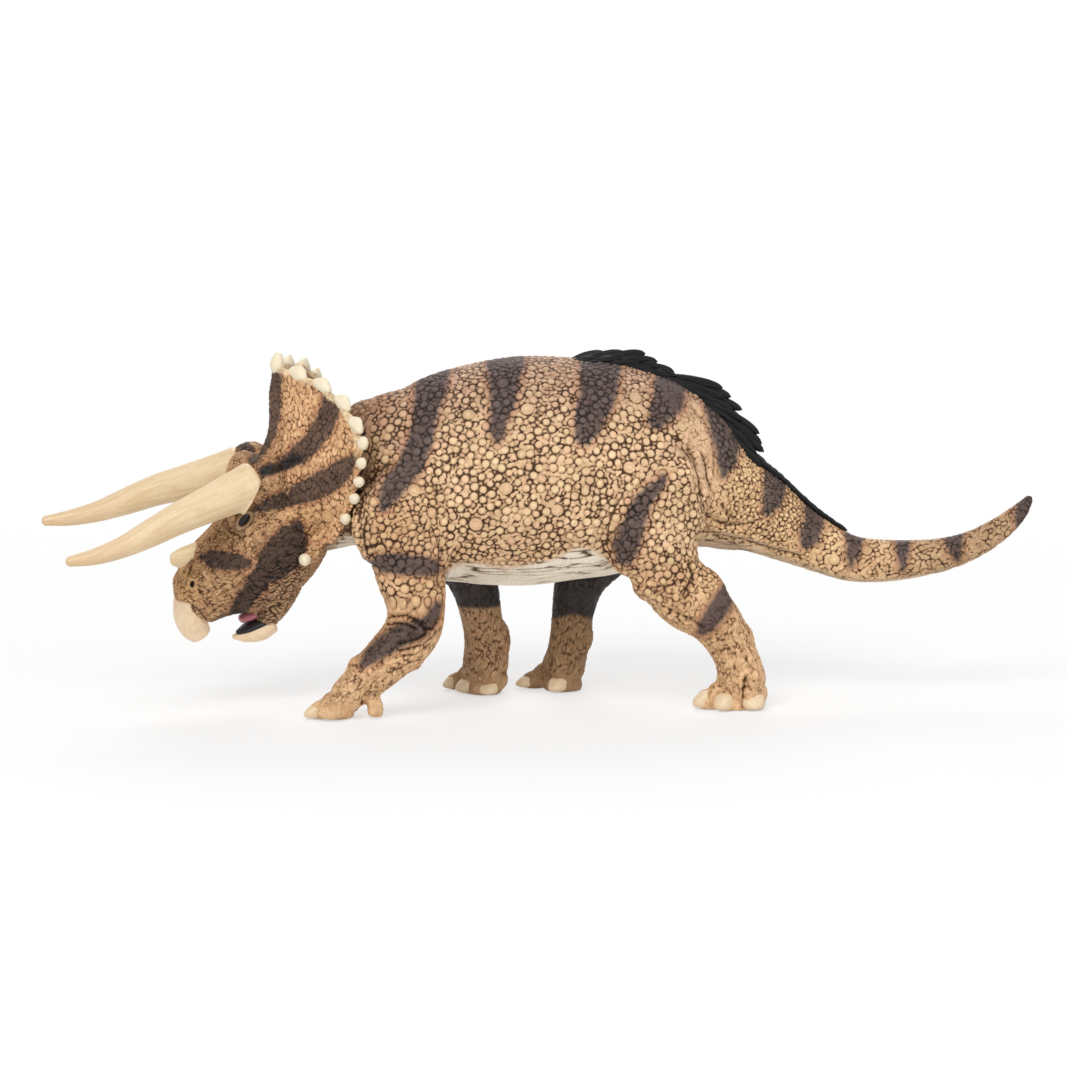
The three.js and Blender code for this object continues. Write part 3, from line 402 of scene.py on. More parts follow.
def tree_of(points):
    """A search tree over points."""
    tree = kdtree.KDTree(len(points))
    for i, p in enumerate(points):
        tree.insert(p, i)
    tree.balance()
    return tree


def scatter(co, fill, disc, rosette_share=0.0, plain=None):
    """Scale middles over points: round discs where disc is their radius, then small scales of half spacing fill.

    Returns places, radii and kinds: 0 a small scale, 1 a disc, 2 a big disc with a ring, none of these where plain.
    """
    tree = tree_of(co)
    places, radii, kinds = [], [], []
    alive, free = np.ones(len(co), bool), disc > 0
    order = rng.permutation(len(co))

    def take(i, r, kind, clear):
        for _, j, _ in tree.find_range(co[i], r + clear):
            free[j] = False
        for _, j, _ in tree.find_range(co[i], r + 0.45 * fill[i]):
            alive[j] = False
        places.append(co[i]), radii.append(r), kinds.append(kind)

    apart = np.ones(len(co), bool) if plain is None else ~plain
    for i in order[: int(len(co) * rosette_share)]:
        if apart[i]:
            size = max(disc[i], 1.5 * fill[i])
            take(i, 1.55 * size * rng.uniform(0.85, 1.1), 2, 0.95 * disc[i])
            for _, j, _ in tree.find_range(co[i], 8 * size):
                apart[j] = False
    for i in order:
        if free[i]:
            take(i, disc[i] * rng.uniform(0.78, 1.04), 1, 0.98 * disc[i])
    for i in order:
        if alive[i]:
            r = fill[i] * rng.choice([0.72, 0.9, 1.05, 1.25], p=[0.25, 0.3, 0.28, 0.17])
            for _, j, _ in tree.find_range(co[i], r + 0.78 * fill[i]):
                alive[j] = False
            places.append(co[i]), radii.append(r), kinds.append(0)
    return np.array(places), np.array(radii), np.array(kinds)


def cells(co, places, radii, kinds, count=9):
    """For each point its scale, how deep inside it is in mm, its distance share, the way to the nearest
    groove, and how strong that groove is from 0 to 1."""
    tree = tree_of(places)
    index = np.zeros((len(co), count), int)
    dist = np.zeros((len(co), count))
    for i, p in enumerate(co):
        found = tree.find_n(p, count)
        index[i] = [f[1] for f in found]
        dist[i] = [f[2] for f in found]
    rows = np.arange(len(co))
    disc = kinds[index] > 0
    share = dist / radii[index]
    far = 9.0  # beyond any real distance
    # small scales meet half way, by their sizes
    small = np.where(disc, far, share)
    order = np.argsort(small, 1)
    first, second = index[rows, order[:, 0]], index[rows, order[:, 1]]
    s1, s2 = small[rows, order[:, 0]], small[rows, order[:, 1]]
    depth = (s2 - s1) / (1 / radii[first] + 1 / radii[second])
    way = places[second] - places[first]
    pair = np.sin(np.minimum(first, second) * 12.9898 + np.maximum(first, second) * 78.233) * 43758.5453
    strength = 0.2 + 0.75 * smoothstep(0.05, 0.75, pair - np.floor(pair))
    # a disc keeps its round edge
    gap = np.where(disc, dist - radii[index], far)
    k = gap.argmin(1)
    edge, own = gap[rows, k], index[rows, k]
    inside, beside = edge < 0, (edge >= 0) & (edge < depth)
    outwards = co - places[own]
    strong_side = np.random.default_rng(5).normal(size=(len(places), 3))
    lit = (unit(outwards) * unit(strong_side)[own]).sum(1)
    disc_strength = np.clip(1.0 + 0.45 * lit, 0.55, 1)
    depth = np.where(inside, -edge, np.where(beside, edge, depth))
    way = np.where(inside[:, None], outwards, np.where(beside[:, None], -outwards, way))
    strength = np.where(inside | beside, disc_strength, strength)
    return np.where(inside, own, first), depth, np.where(inside, share[rows, k], s1), way, strength


def wrinkles(points, spacing):
    """How far stretched or bent points are from a net of lines of about that spacing, and the line's strength."""
    net = scatter(points, np.full(len(points), spacing), np.zeros(len(points)))
    _, depth, _, _, strength = cells(points, *net)
    return depth, strength


def dashed_wrinkles(points, on_skin, spacing, width, least, length):
    """Height from 0 in a wrinkle to 1 beside it, for lines that fade to their least share every length."""
    depth, strength = wrinkles(points, spacing)
    kept = least + (1 - least) * broken(on_skin, length)
    return 1 - smoothstep(0.05, 0.6, strength) * (1 - smoothstep(0, width, depth)) * kept


def snap_to_grooves(skin, normal, depth, across, where):
    """Moves points next to a groove onto it, which keeps the grooves crisp, and returns the new depths."""
    across = unit(across)
    across -= normal * (across * normal).sum(1)[:, None]
    skin.co[where] += across[where] * depth[where, None]
    return np.where(where, 0, depth)


def broken(p, length):
    """Uneven 0 to 1 pattern that cuts lines on points p into dashes of about this length."""
    ways = [[0.8, 0.3, 0.5], [-0.4, 0.2, 0.9], [0.3, -0.9, 0.3], [0.6, 0.5, -0.6]]
    lines = sum(np.sin(2 * np.pi / length * (p @ w) + 1.7 * k + 1.5 * np.sin(p @ w[::-1])) for k, w in enumerate(ways))
    return smoothstep(-0.9, 0.7, lines)


def pebbled(depth, share, strength, width):
    """Height from 0 in a groove to 1 on a scale: uneven grooves, widest where three scales meet."""
    corner = smoothstep(0.95, 1.3, share)
    return (1 - strength * (1 - smoothstep(0, 1, depth / width))) * (1 - 0.55 * corner)


def wash_and_shade_line(depth, share, strength, width):
    """0 in a groove to 1 away from it, even in between: where the grooves' dark wash goes, partly painted shade."""
    return 1 - strength * (1 - np.clip(depth / width, 0, 1)) * (1 + 0.4 * smoothstep(1.0, 1.3, share))


def rgb(r, g, b):
    """A colour written in screen values, as linear light."""
    c = np.array([r, g, b]) / 255
    return np.where(c <= 0.04045, c / 12.92, ((c + 0.055) / 1.055) ** 2.4)


def mix(a, b, w):
    return a * (1 - w[:, None]) + b * w[:, None]


def painted_over(paint, coats):
    """Paint after coats of (colour, weight), each over the one before."""
    for colour, weight in coats:
        paint = mix(paint, rgb(*colour), weight)
    return paint


# ---------------------------------------------------------------- body

trunk_spine = Spine(TRUNK, TRUNK_PINCH, 300)
neck_spine = Spine(NECK, 0, 60)
leg_spines = {name: Spine(leg["sections"], 0, 160) for name, leg in LEGS.items()}
tail_seam = np.searchsorted(trunk_spine.t, TAIL_SEAM / (len(TRUNK) - 1))

# bulges of muscle and bone: (seen x, seen y, y, half sizes, tilt)
BULGES = [
    (706, 590, -14.5, (4.9, 5.4, 7.2), -36), (745, 634, -12.6, (2.2, 3.2, 3.4), -30),
    (650, 584, -16.4, (4.6, 4.8, 4.6), -30),
    (735, 655, -13, (3.4, 4.6, 5), -20), (428, 612, -16.4, (4.2, 5.6, 6), 10), (402, 652, -16.8, (6, 5.6, 4), 38),
    (331, 713, -21.2, (3.6, 1.9, 1.7), 0), (373.5, 711.5, -18.8, (1.6, 1.6, 1.5), 0),
    (366, 424, 0.01, (5.4, 8, 6.2), 0), (342, 697, -18.4, (7, 4, 2.6), -33),
    (365, 672, -17, (5, 5, 4), 40), (392, 520, -17.2, (10, 5.2, 12), 15), (660, 500, -15.4, (12, 6, 14), 12),
    (640, 540, -17.4, (9, 5, 10), 20), (497, 640, 14.5, (3.6, 4.4, 6), 0), (580, 630, 15.5, (3.4, 4.4, 6), -12),
]
TOE_PADS = (2.7, 1.9, 0.15), (5.6, 3.4, 0.45)  # pad and knuckle of a toe: how far back, how high, how much larger

body_forms = [loft(TRUNK, 96, (3, 1.2), TRUNK_PINCH, 260), loft(NECK, 64, (1, 1), 0, 40)]
for leg in LEGS.values():
    body_forms.append(loft(leg["sections"], 56, (3, 2.2), 0, 110))
    body_forms.append(ellipsoid(*leg["sole"]))
    for x, y, heading, length, width, tall in leg["hooves"]:
        a = math.radians(heading)
        for back, rise, grow in TOE_PADS:
            place = (x + back * math.cos(a), y + back * math.sin(a), rise)
            body_forms.append(ellipsoid(place, (3.4, width / 2 + grow, tall / 2 + 0.35 + 2.4 * grow), heading))
    if leg["dew"]:
        body_forms.append(ellipsoid(*leg["dew"]))
for across, down, y, half, tilt in BULGES:
    body_forms.append(ellipsoid(at_seen(across, down, y), half, 0, tilt))
# shoulder and hip of the far side
(sx, _, sz, _, _), (hx, _, hz, _, _) = (LEGS[name]["sections"][1] for name in ("front_right_leg", "hind_right_leg"))
body_forms.append(ellipsoid((sx + 2, 13.6, sz - 1), (10, 8.4, 12.5), 0, -12))
body_forms.append(ellipsoid((hx + 1.5, 13.4, hz + 1), (12, 8, 13.5), 0, 10))

body = Skin(body_forms, BODY_VOXEL)
finer = (0.42 / BODY_VOXEL) ** 2  # a finer mesh takes more rounds of smoothing
height = body.co[:, 2]
soft = smoothstep(7, 16, height) * (1 - 0.8 * smoothstep(60, 100, body.co[:, 0]))
body.smooth(np.full(body.n, 0.5), max(2, int(5 * finer)))
body.smooth(0.6 * soft, max(4, int(26 * finer)))
body.co[:, 2] = np.maximum(body.co[:, 2], 0)

off_trunk = trunk_spine.locate(body.co)[1]
_, off_neck, angle_neck = neck_spine.locate(body.co)
leg_at = {name: spine.locate(body.co) for name, spine in leg_spines.items()}
region = np.zeros(body.n, int)  # 0 trunk, 1 neck, 2 tail, then the legs in their order
beyond = (body.co - trunk_spine.middle[tail_seam]) @ trunk_spine.along[tail_seam]
region[(beyond > 0) & (body.co[:, 0] > 30) & (off_trunk < 3)] = 2
region[(off_trunk > 0.35) & (body.co[:, 0] < -38) & (off_neck < 2)] = 1
nearest = np.min([off for _, off, _ in leg_at.values()], 0)
leg_t = np.zeros(body.n)
for code, (name, (_, off, _)) in enumerate(leg_at.items(), 3):
    side = -1 if "left" in name else 1
    own = (side * body.co[:, 1] > 0) & (height < 56) & (region != 2) & (off <= nearest)
    region[own & ((height < 28) | ((off_trunk > 0.5) & (off < 4.5)))] = code
for code, (t, _, _) in enumerate(leg_at.values(), 3):
    leg_t[region == code] = t[region == code]
on_trunk, on_neck, on_tail, front_left, front_right, hind_left, hind_right = (region == code for code in range(7))
on_leg, fore, rear = region >= 3, front_left | front_right, hind_left | hind_right

flat = seen(near_side(body.co))
x, y = flat.T
normal = body.normals()
faces_side = smoothstep(0.1, 0.45, np.abs(normal[:, 1]))

# folds, as lines in the view: (points, half width in mm, depth in mm)
TRUNK_FOLDS = [
    ([(356, 520), (361, 492), (372, 472), (388, 462)], 1.5, 1.2),
    ([(366, 556), (362, 536), (366, 516)], 1.1, 0.7),
    ([(685, 448), (696, 461), (701, 477), (702, 496), (704, 513), (716, 521), (734, 526), (756, 523)], 0.8, 0.6),
    ([(702, 452), (706, 462), (708, 478), (712, 490), (715, 494)], 0.6, 0.6),
    ([(674, 436), (688, 452), (694, 470), (695, 490)], 0.6, 0.35),
    ([(688, 446), (696, 458), (700, 474), (702, 496)], 0.5, 0.5),
    ([(690, 404), (704, 418), (712, 436), (715, 452), (714, 474)], 0.5, 0.35),
    ([(722, 505), (734, 519)], 0.5, 0.6),
    ([(700, 532), (720, 535), (745, 541), (770, 549), (800, 556)], 0.6, 0.45),
    ([(706, 541), (730, 546), (760, 556), (790, 565)], 0.5, 0.35),
    ([(441, 540), (442, 562), (440, 584)], 0.8, 0.7),
    ([(430, 470), (436, 500), (438, 530)], 2.5, 0.35),
    ([(612, 566), (606, 545), (612, 515), (626, 490)], 1.6, 0.6),
]
FRONT_FOLDS = [
    ([(366, 551), (373, 546), (382, 543)], 0.6, 0.6), ([(371, 556), (380, 550)], 0.5, 0.4),
    ([(388, 617), (406, 616), (420, 624), (428, 631)], 0.55, 1.2), ([(386, 624), (404, 624), (417, 630)], 0.45, 0.9),
    ([(384, 630), (396, 630), (408, 634)], 0.5, 0.35),
    ([(398, 645), (420, 639), (434, 627), (441, 616)], 0.5, 0.8), ([(402, 651), (424, 645), (437, 632)], 0.45, 0.6),
    ([(396, 658), (416, 655), (430, 644)], 0.45, 0.45),
    ([(391, 669), (397, 671), (403, 667)], 0.5, 0.6), ([(352, 664), (360, 668), (366, 676)], 0.5, 0.35),
    ([(361, 711), (363, 703)], 0.6, 0.8),
    ([(441, 545), (442, 572), (440, 584)], 0.7, 0.6),
]
HIND_FOLDS = [
    ([(684, 596), (690, 585), (695, 575), (691, 564)], 0.7, 1.2),
    ([(668, 610), (680, 616), (692, 620), (702, 628)], 0.5, 0.5),
    ([(655, 594), (668, 587), (684, 581)], 0.5, 0.5), ([(640, 585), (655, 592), (668, 602)], 0.5, 0.35),
    ([(700, 657), (716, 652), (738, 646)], 0.5, 0.35), ([(744, 708), (743, 692), (746, 678)], 0.5, 1.0),
    ([(711, 706), (709, 694), (713, 684)], 0.5, 0.3), ([(730, 706), (731, 698), (729, 690)], 0.4, 0.4),
    ([(735, 640), (746, 655), (754, 672)], 0.5, 0.35), ([(722, 640), (730, 656), (736, 674)], 0.5, 0.3),
]
# painted shade over each fold, darkest along its crease
shift, fold_shade, crease_shade = np.zeros((3, body.n))
for folds, where in ((TRUNK_FOLDS, ~on_leg | (height > 30)), (FRONT_FOLDS, front_left | on_trunk),
                     (HIND_FOLDS, hind_left | on_trunk)):
    for line, half, deep in folds:
        d = line_distance(flat, line) / STEPS
        groove = np.exp(-(d / half) ** 2) * faces_side * where
        shift -= deep * (groove - 0.3 * np.exp(-((d - 2.2 * half) / half) ** 2) * faces_side * where)
        fold_shade = np.maximum(fold_shade, groove * min(1, deep))
        crease_shade = np.maximum(crease_shade, np.exp(-(d / 0.27) ** 2) * (faces_side > 0.3) * where * min(1, 1.6 * deep))
body.co += normal * shift[:, None]
body.smooth(np.full(body.n, 0.3), 1)
normal = body.normals()

# belly, underside of the tail and throat are pale and wrinkled
belly_line = np.interp(x, [430, 443, 462, 478, 504, 550, 579, 594, 608, 640, 690],
                       [580, 573, 563, 563, 569, 560, 547, 550, 560, 566, 545])
belly = np.maximum(smoothstep(-3, 4, y - belly_line), smoothstep(-0.62, -0.8, normal[:, 2])) * on_trunk
tail_line = np.interp(x, [690, 720, 760, 800, 850, 1000], [531, 535, 545, 562, 580, 600])
tail_under = np.maximum(smoothstep(-4, 8, y - tail_line) * (x < 800), smoothstep(-0.6, -0.9, normal[:, 2])) * on_tail
throat = smoothstep(0.2, 1.2, off_trunk) * on_neck * smoothstep(0.35, -0.1, np.sin(angle_neck))
wrinkled = body.spread(np.clip(belly + throat + 0.7 * tail_under, 0, 1), 3)

# radius of the round scales, and half spacing of the small ones between them, in mm
size = np.full(body.n, 1.12) + 0.3 * spot(flat, (390, 410), (30, 40)) - 0.2 * spot(flat, (395, 535), (42, 26))
size -= 0.3 * smoothstep(548, 572, y) * on_trunk
size -= 0.25 * smoothstep(0.55, 0.95, normal[:, 2]) * on_trunk
size[on_tail] = np.interp(x[on_tail], [700, 780, 860, 960, 1030], [0.94, 0.68, 0.58, 0.52, 0.48])
size[fore] = np.interp(leg_t[fore], [0, 0.2, 0.34, 0.5, 0.56, 0.8, 1], [1.0, 0.85, 1.2, 1.25, 0.5, 0.45, 0.45])
size[rear] = np.interp(leg_t[rear], [0, 0.25, 0.42, 0.52, 0.65, 0.85, 1], [1.12, 1.1, 0.95, 0.5, 0.46, 0.45, 0.45])
has_discs = np.ones(body.n)
has_discs[on_tail] = 1 - smoothstep(760, 860, x[on_tail])
has_discs[fore] = 1 - smoothstep(0.46, 0.5, leg_t[fore])
has_discs[rear] = 1 - smoothstep(0.44, 0.54, leg_t[rear])
has_discs[on_neck] = 0
hip = stroke(flat, [(672, 392, 8), (694, 420, 14), (704, 452, 16), (710, 486, 16), (716, 515, 12)]) / 8
hip = smoothstep(-0.8, 0.5, hip) * ~on_leg
has_discs *= hip < 0.5
size, has_discs = body.spread(size * (1 - hip) + 0.55 * hip, 6), body.spread(has_discs, 6)
# here and there the small scales spread
lumps = waves(body.co, (0.31, 0.12, 0.22, 1), (-0.17, 0.2, 0.37, 3), (0.44, -0.1, -0.3, 0))
disc = size * (has_discs > 0.5) * (lumps > -1.5) * (wrinkled < 0.2)
fill = np.maximum(np.where(has_discs > 0.5, 0.5 * size, size), 1.3 * BODY_VOXEL)

# scales on the shins are longer than they are wide
stretched = body.co.copy()
stretched[:, 2] += 0.38 * (30 - np.minimum(height, 30))
places, radii, kinds = scatter(stretched, fill, disc, 0.0012, on_leg & (height < 42))
cell, depth, share, across, strength = cells(stretched, places, radii, kinds)
across[height < 30, 2] *= 0.62

# the scales of wrinkled places are long and low
long_ones = np.flatnonzero(wrinkled > 0.02)
w_depth, w_strength = wrinkles(body.co[long_ones] * [0.15, 1, 1], 0.72)
depth = snap_to_grooves(body, normal, depth, across, (depth < 0.36 * BODY_VOXEL) & (wrinkled < 0.5))

top = pebbled(depth, share, strength, np.clip(0.42 * size, 0.22, 0.42))
line = wash_and_shade_line(depth, share, strength, np.interp(size, [0.5, 1.0], [0.46, 0.64]))
ringed = (kinds == 2)[cell] * np.exp(-((share - 0.52) / 0.12) ** 2)
domed = np.where(kinds[cell] > 0, 1.12 - 0.1 * share**2, 0.86)
relief = 0.3 * np.clip(size, 0.6, 1.1) * (top * domed - 0.85 - 0.4 * ringed)
w_top, w_line = np.ones((2, body.n))
under = tail_under[long_ones]
chosen = smoothstep(0.45 - 0.25 * under, 0.85 - 0.15 * under, w_strength)
w_top[long_ones] = 1 - chosen * (1 - smoothstep(0, 0.45, w_depth))
w_line[long_ones] = 1 - chosen * (1 - np.clip(w_depth / 0.42, 0, 1))
relief = relief * (1 - wrinkled) + 0.4 * (w_top - 0.9) * wrinkled
relief *= smoothstep(0.0, 1.2, height)
patches = waves(body.co, (0.21, 0.15, -0.33, 2), (-0.3, 0.1, 0.24, 0), (0.1, -0.3, 0.4, 4))
faint = 0.84 + 0.16 * smoothstep(-1.6, -0.2, patches)
faint *= 1 - 0.35 * hip
faint[on_tail] = 0.88
faint[on_leg] = 0.56 + 0.14 * smoothstep(8, 20, height[on_leg]) + 0.22 * smoothstep(22, 36, height[on_leg])
# the lower legs have wrinkles that follow the leg
limb, l_top = np.zeros(body.n), np.ones(body.n)
limb[fore] = smoothstep(0.48, 0.56, leg_t[fore])
limb[rear] = smoothstep(0.46, 0.55, leg_t[rear])
for code, spine in enumerate(leg_spines.values(), 3):
    own = np.flatnonzero((region == code) & (limb > 0))
    curled = spine.unrolled(body.co[own], 0.55)
    curled[:, 1] += 0.35 * np.sin(2.6 * curled[:, 0])
    l_top[own] = dashed_wrinkles(curled, body.co[own], max(0.42, 1.2 * BODY_VOXEL), 0.42, 0.66, 2.6)
l_top = 1 - (1 - l_top) * (0.2 + 0.8 * smoothstep(1.5, 6, height))
faint, limb = body.spread(faint, 3), body.spread(limb, 3)
relief = relief * (1 - 0.75 * limb) + 0.34 * (l_top - 0.75) * limb
groove = 1 - faint * (1 - line * (1 - 0.6 * ringed)) * (1 - 0.8 * limb)
groove *= 1 - 0.86 * limb * (1 - l_top)
groove = groove * (1 - wrinkled) + w_line * wrinkled
groove *= (1 - 0.25 * smoothstep(0.4, 1.0, fold_shade)) * (1 - 0.9 * crease_shade)
body.co += normal * (relief * (0.45 + 0.55 * faint))[:, None]
body.co[:, 2] = np.maximum(body.co[:, 2], 0.02)

tone = (rng.uniform(0, 1, len(places)) * np.where(kinds > 0, 0.75, 0.6) + np.where(kinds > 0, 0.2, 0))[cell]
tone = tone * (1 - wrinkled) + 0.5 * wrinkled

# paint, with strokes (x, y, half width) in the view
STRIPES = [
    [(434, 352, 18), (433, 366, 18), (431, 387, 16), (426, 409, 13), (421, 438, 12.5), (411, 465, 12.5), (396, 482, 12),
     (388, 497, 9.5), (383, 507, 5)],
    [(506, 345, 20), (505, 365, 19), (504, 387, 14.6), (503, 401, 12.5), (499, 416, 9.5), (497.5, 431, 8),
     (498, 441, 3)],
    [(602, 345, 22), (601, 366, 21), (598, 394, 19), (593, 409, 17), (589, 423, 14.6), (585, 434, 11), (584, 441, 4)],
    [(674, 366, 15), (671, 385, 17), (668, 402, 16), (662, 411, 13.5), (657, 420, 9.5), (655, 425, 4)],
    [(709, 404, 5), (713, 416, 7), (720, 430, 10), (728, 446, 13), (727, 461, 10.5), (724, 473, 5)],
    [(768, 460, 5), (776, 482, 12), (773, 500, 10.5), (767, 511, 5)],
    [(812, 500, 8), (815, 522, 10), (810, 535, 11), (806, 543, 6)],
    [(852, 520, 12), (855, 541, 9), (853, 555, 6.5), (851, 565, 3)],
    [(903, 523, 10), (903, 545, 7.5), (903, 558, 5.5), (903, 569, 3)],
    [(952, 523, 11), (955, 545, 9), (957, 558, 4)],
    [(1019, 530, 3), (1023, 515, 9), (1030, 500, 12), (1036, 490, 12)],
]
THIGH = [(664, 478, 4), (655, 489, 7), (643, 500, 9), (637, 515, 11), (632, 530, 12.5), (626, 545, 14), (624, 556, 9.5),
         (628, 563, 3)]
SHIN = [(727, 588, 6), (724, 600, 10), (716, 613, 10.5), (707, 625, 8.5), (702, 631, 5)]
ARM = [(374, 562, 5), (385, 563, 10), (400, 564, 11), (418, 566, 10.5), (432, 567, 9), (440, 569, 4)]
FOREARM = [(438, 606, 5), (430, 620, 7), (418, 630, 10), (402, 635, 12), (385, 645, 11), (372, 655, 9), (364, 663, 5)]

wobble = rng.uniform(-1, 1, len(places))[cell] * np.where(on_leg & (height < 34), 0.3, 0.8)
upper = on_trunk | on_neck
left = body.co[:, 1] < 0
inside = painted_with(flat + wobble[:, None], [(line, ~on_leg | (height > 40)) for line in STRIPES] + [
    (THIGH, (hind_left | upper) & left), (SHIN, hind_left),
    (ARM, front_left | (upper & (height < 45) & left)), (FOREARM, front_left)])
far_thigh = body.co + np.array([4.5, 0, 0]) - np.outer(0.35 * (height - 50), [1, 0, 0])
inside = np.maximum(inside, painted_with(seen(near_side(far_thigh)) + wobble[:, None],
                                         [(THIGH, (hind_right | upper) & ~left)]))
# the right legs wear the same bands, from start to end down the leg
outside = smoothstep(-0.2, 0.3, normal[:, 1]) > 0.3
for leg, start, end in ((front_right, 0.27, 0.36), (front_right, 0.52, 0.66), (hind_right, 0.6, 0.7)):
    band = ((end - start) / 2 - np.abs(leg_t - (start + end) / 2)) * 200 + wobble
    inside = np.where(leg & outside, np.maximum(inside, band), inside)
stripe = smoothstep(-3.2, 3.4, inside)
fringe = smoothstep(-8, 0, inside) * (1 - stripe)
# painted shade: the inner sides of the legs are painted near black from the body down, where the belly's shadow falls
z = height + wobble * 0.12
hind_z = z + 0.35 * np.abs(body.co[:, 0] - 11)
dark = smoothstep(22, 23.2, z) * smoothstep(38, 35, z) * front_right
dark = np.maximum(dark, smoothstep(20, 21.6, hind_z) * smoothstep(40, 37, z) * hind_right)
dark *= smoothstep(0.35, -0.1, normal[:, 1])
inner = (front_left | hind_left) * smoothstep(0.2, 0.6, normal[:, 1])
dark = np.maximum(dark, smoothstep(24, 26, z) * smoothstep(36, 33, z) * inner)

# painted shade: darker behind the frill, where its shadow falls, and darker still in the crease between neck and
# shoulder
frill_shadow = smoothstep(420, 375, x) * smoothstep(470, 400, y) * ~on_leg
shaded = np.exp(-((x - 352) / 20) ** 2) * smoothstep(380, 430, y) * smoothstep(560, 520, y) * ~on_leg
paint = painted_over(np.tile(rgb(238, 210, 176), (body.n, 1)), [
    ((220, 184, 146), smoothstep(520, 600, y) * 0.7),
    ((196, 166, 148), smoothstep(0.3, 0.85, normal[:, 2]) * on_trunk * 0.8),
    ((182, 144, 114), frill_shadow * 0.85),
    ((96, 62, 40), shaded * 0.75),
    ((208, 168, 128), spot(flat, (392, 526), (36, 30)) * 0.75),
    ((244, 214, 172), on_tail * 0.75),
    ((178, 150, 122), on_tail * smoothstep(840, 960, x) * 0.65),
    ((240, 208, 168), on_leg * smoothstep(44, 20, height) * 0.7),
    ((240, 210, 170), on_leg * smoothstep(10, 3, height) * 0.7),
    # painted shade: the far legs darker below the body, the far hind leg most
    ((176, 146, 114), (front_right | hind_right) * smoothstep(40, 34, height) * 0.75),
    ((146, 120, 88), hind_right * smoothstep(40, 34, height) * 0.5),
    ((245, 243, 236), belly),
    ((206, 192, 172), tail_under * 0.8),
    ((190, 178, 164), throat),
    ((176, 112, 82), fringe * 0.5),
    ((87, 74, 78), stripe * 0.95),
    # painted shade under the belly, on the inner sides of the legs
    ((44, 46, 54), dark * 0.95),
])
micro = np.where(on_leg, 0.3 + 0.3 * smoothstep(36, 24, height), 0.25 + 0.45 * on_tail + 0.3 * hip)
micro = micro * (1 - 0.9 * wrinkled)
body_values = {"paint": paint, "groove": groove, "tone": tone, "micro": micro}

# ---------------------------------------------------------------- head

STUD_STEP = 0.5 / (len(FRILL_RIM) - 1)  # from stud to stud, as a share of the frill's whole rim
SKULL_PINCH = -0.12


def frill_face(across, out):
    """Points of the frill's front: across from 0 at its left end to 1 at its right, out from 0 at its root."""
    root, rim = (catmull([(x, -y, z) for x, y, z in table[:0:-1]] + table, across) for table in (FRILL_ROOT, FRILL_RIM))
    dip = 0.8 * np.sin(np.pi * across / STUD_STEP) ** 2 * out**6
    reach = 1 - dip / np.linalg.norm(rim - root, axis=-1)
    p = root + (rim - root) * (out * reach)[..., None]
    p[..., 0] += 1.6 * np.sin(np.pi * out) + 4 * smoothstep(0.74, 0.1, out) * np.exp(-((across - 0.5) / 0.11) ** 2)
    return p


def frill_solid(columns=200, rows=40):
    """The frill as a closed sheet, thinner towards its rim."""
    u, v = np.meshgrid(np.linspace(0, 1, columns), np.linspace(0, 1, rows), indexing="ij")
    front = frill_face(u, v)
    e = 1e-3
    du = frill_face(np.minimum(u + e, 1), v) - frill_face(np.maximum(u - e, 0), v)
    dv = frill_face(u, np.minimum(v + e, 1)) - frill_face(u, np.maximum(v - e, 0))
    n = unit(np.cross(du, dv))
    n[n[..., 0] < 0] *= -1
    thick = 3.6 + (1.9 - 3.6) * v  # from the root to the rim
    points = np.vstack([front.reshape(-1, 3), (front + n * thick[..., None]).reshape(-1, 3)])
    at = lambda i, j, face: (face * columns + i) * rows + j
    faces, last = [], (columns - 1, rows - 1)
    for i in range(last[0]):
        for j in range(last[1]):
            faces.append((at(i, j, 0), at(i, j + 1, 0), at(i + 1, j + 1, 0), at(i + 1, j, 0)))
            faces.append((at(i, j, 1), at(i + 1, j, 1), at(i + 1, j + 1, 1), at(i, j + 1, 1)))
        j = last[1]
        faces.append((at(i, 0, 0), at(i + 1, 0, 0), at(i + 1, 0, 1), at(i, 0, 1)))
        faces.append((at(i, j, 0), at(i, j, 1), at(i + 1, j, 1), at(i + 1, j, 0)))
    i = last[0]
    for j in range(last[1]):
        faces.append((at(0, j, 0), at(0, j, 1), at(0, j + 1, 1), at(0, j + 1, 0)))
        faces.append((at(i, j, 0), at(i, j + 1, 0), at(i, j + 1, 1), at(i, j, 1)))
    return points, faces


def bell(values, middle, width):
    """A bell curve over values, 1 at its middle."""
    return np.exp(-((values - middle) / width) ** 2)


def oval(flat, centre, half, turn=0.0):
    """Distance from the middle of an oval in the view, 1 on its line."""
    a = math.radians(turn)
    d = flat - centre
    p, q = d[:, 0] * math.cos(a) + d[:, 1] * math.sin(a), -d[:, 0] * math.sin(a) + d[:, 1] * math.cos(a)
    return np.hypot(p / half[0], q / half[1])


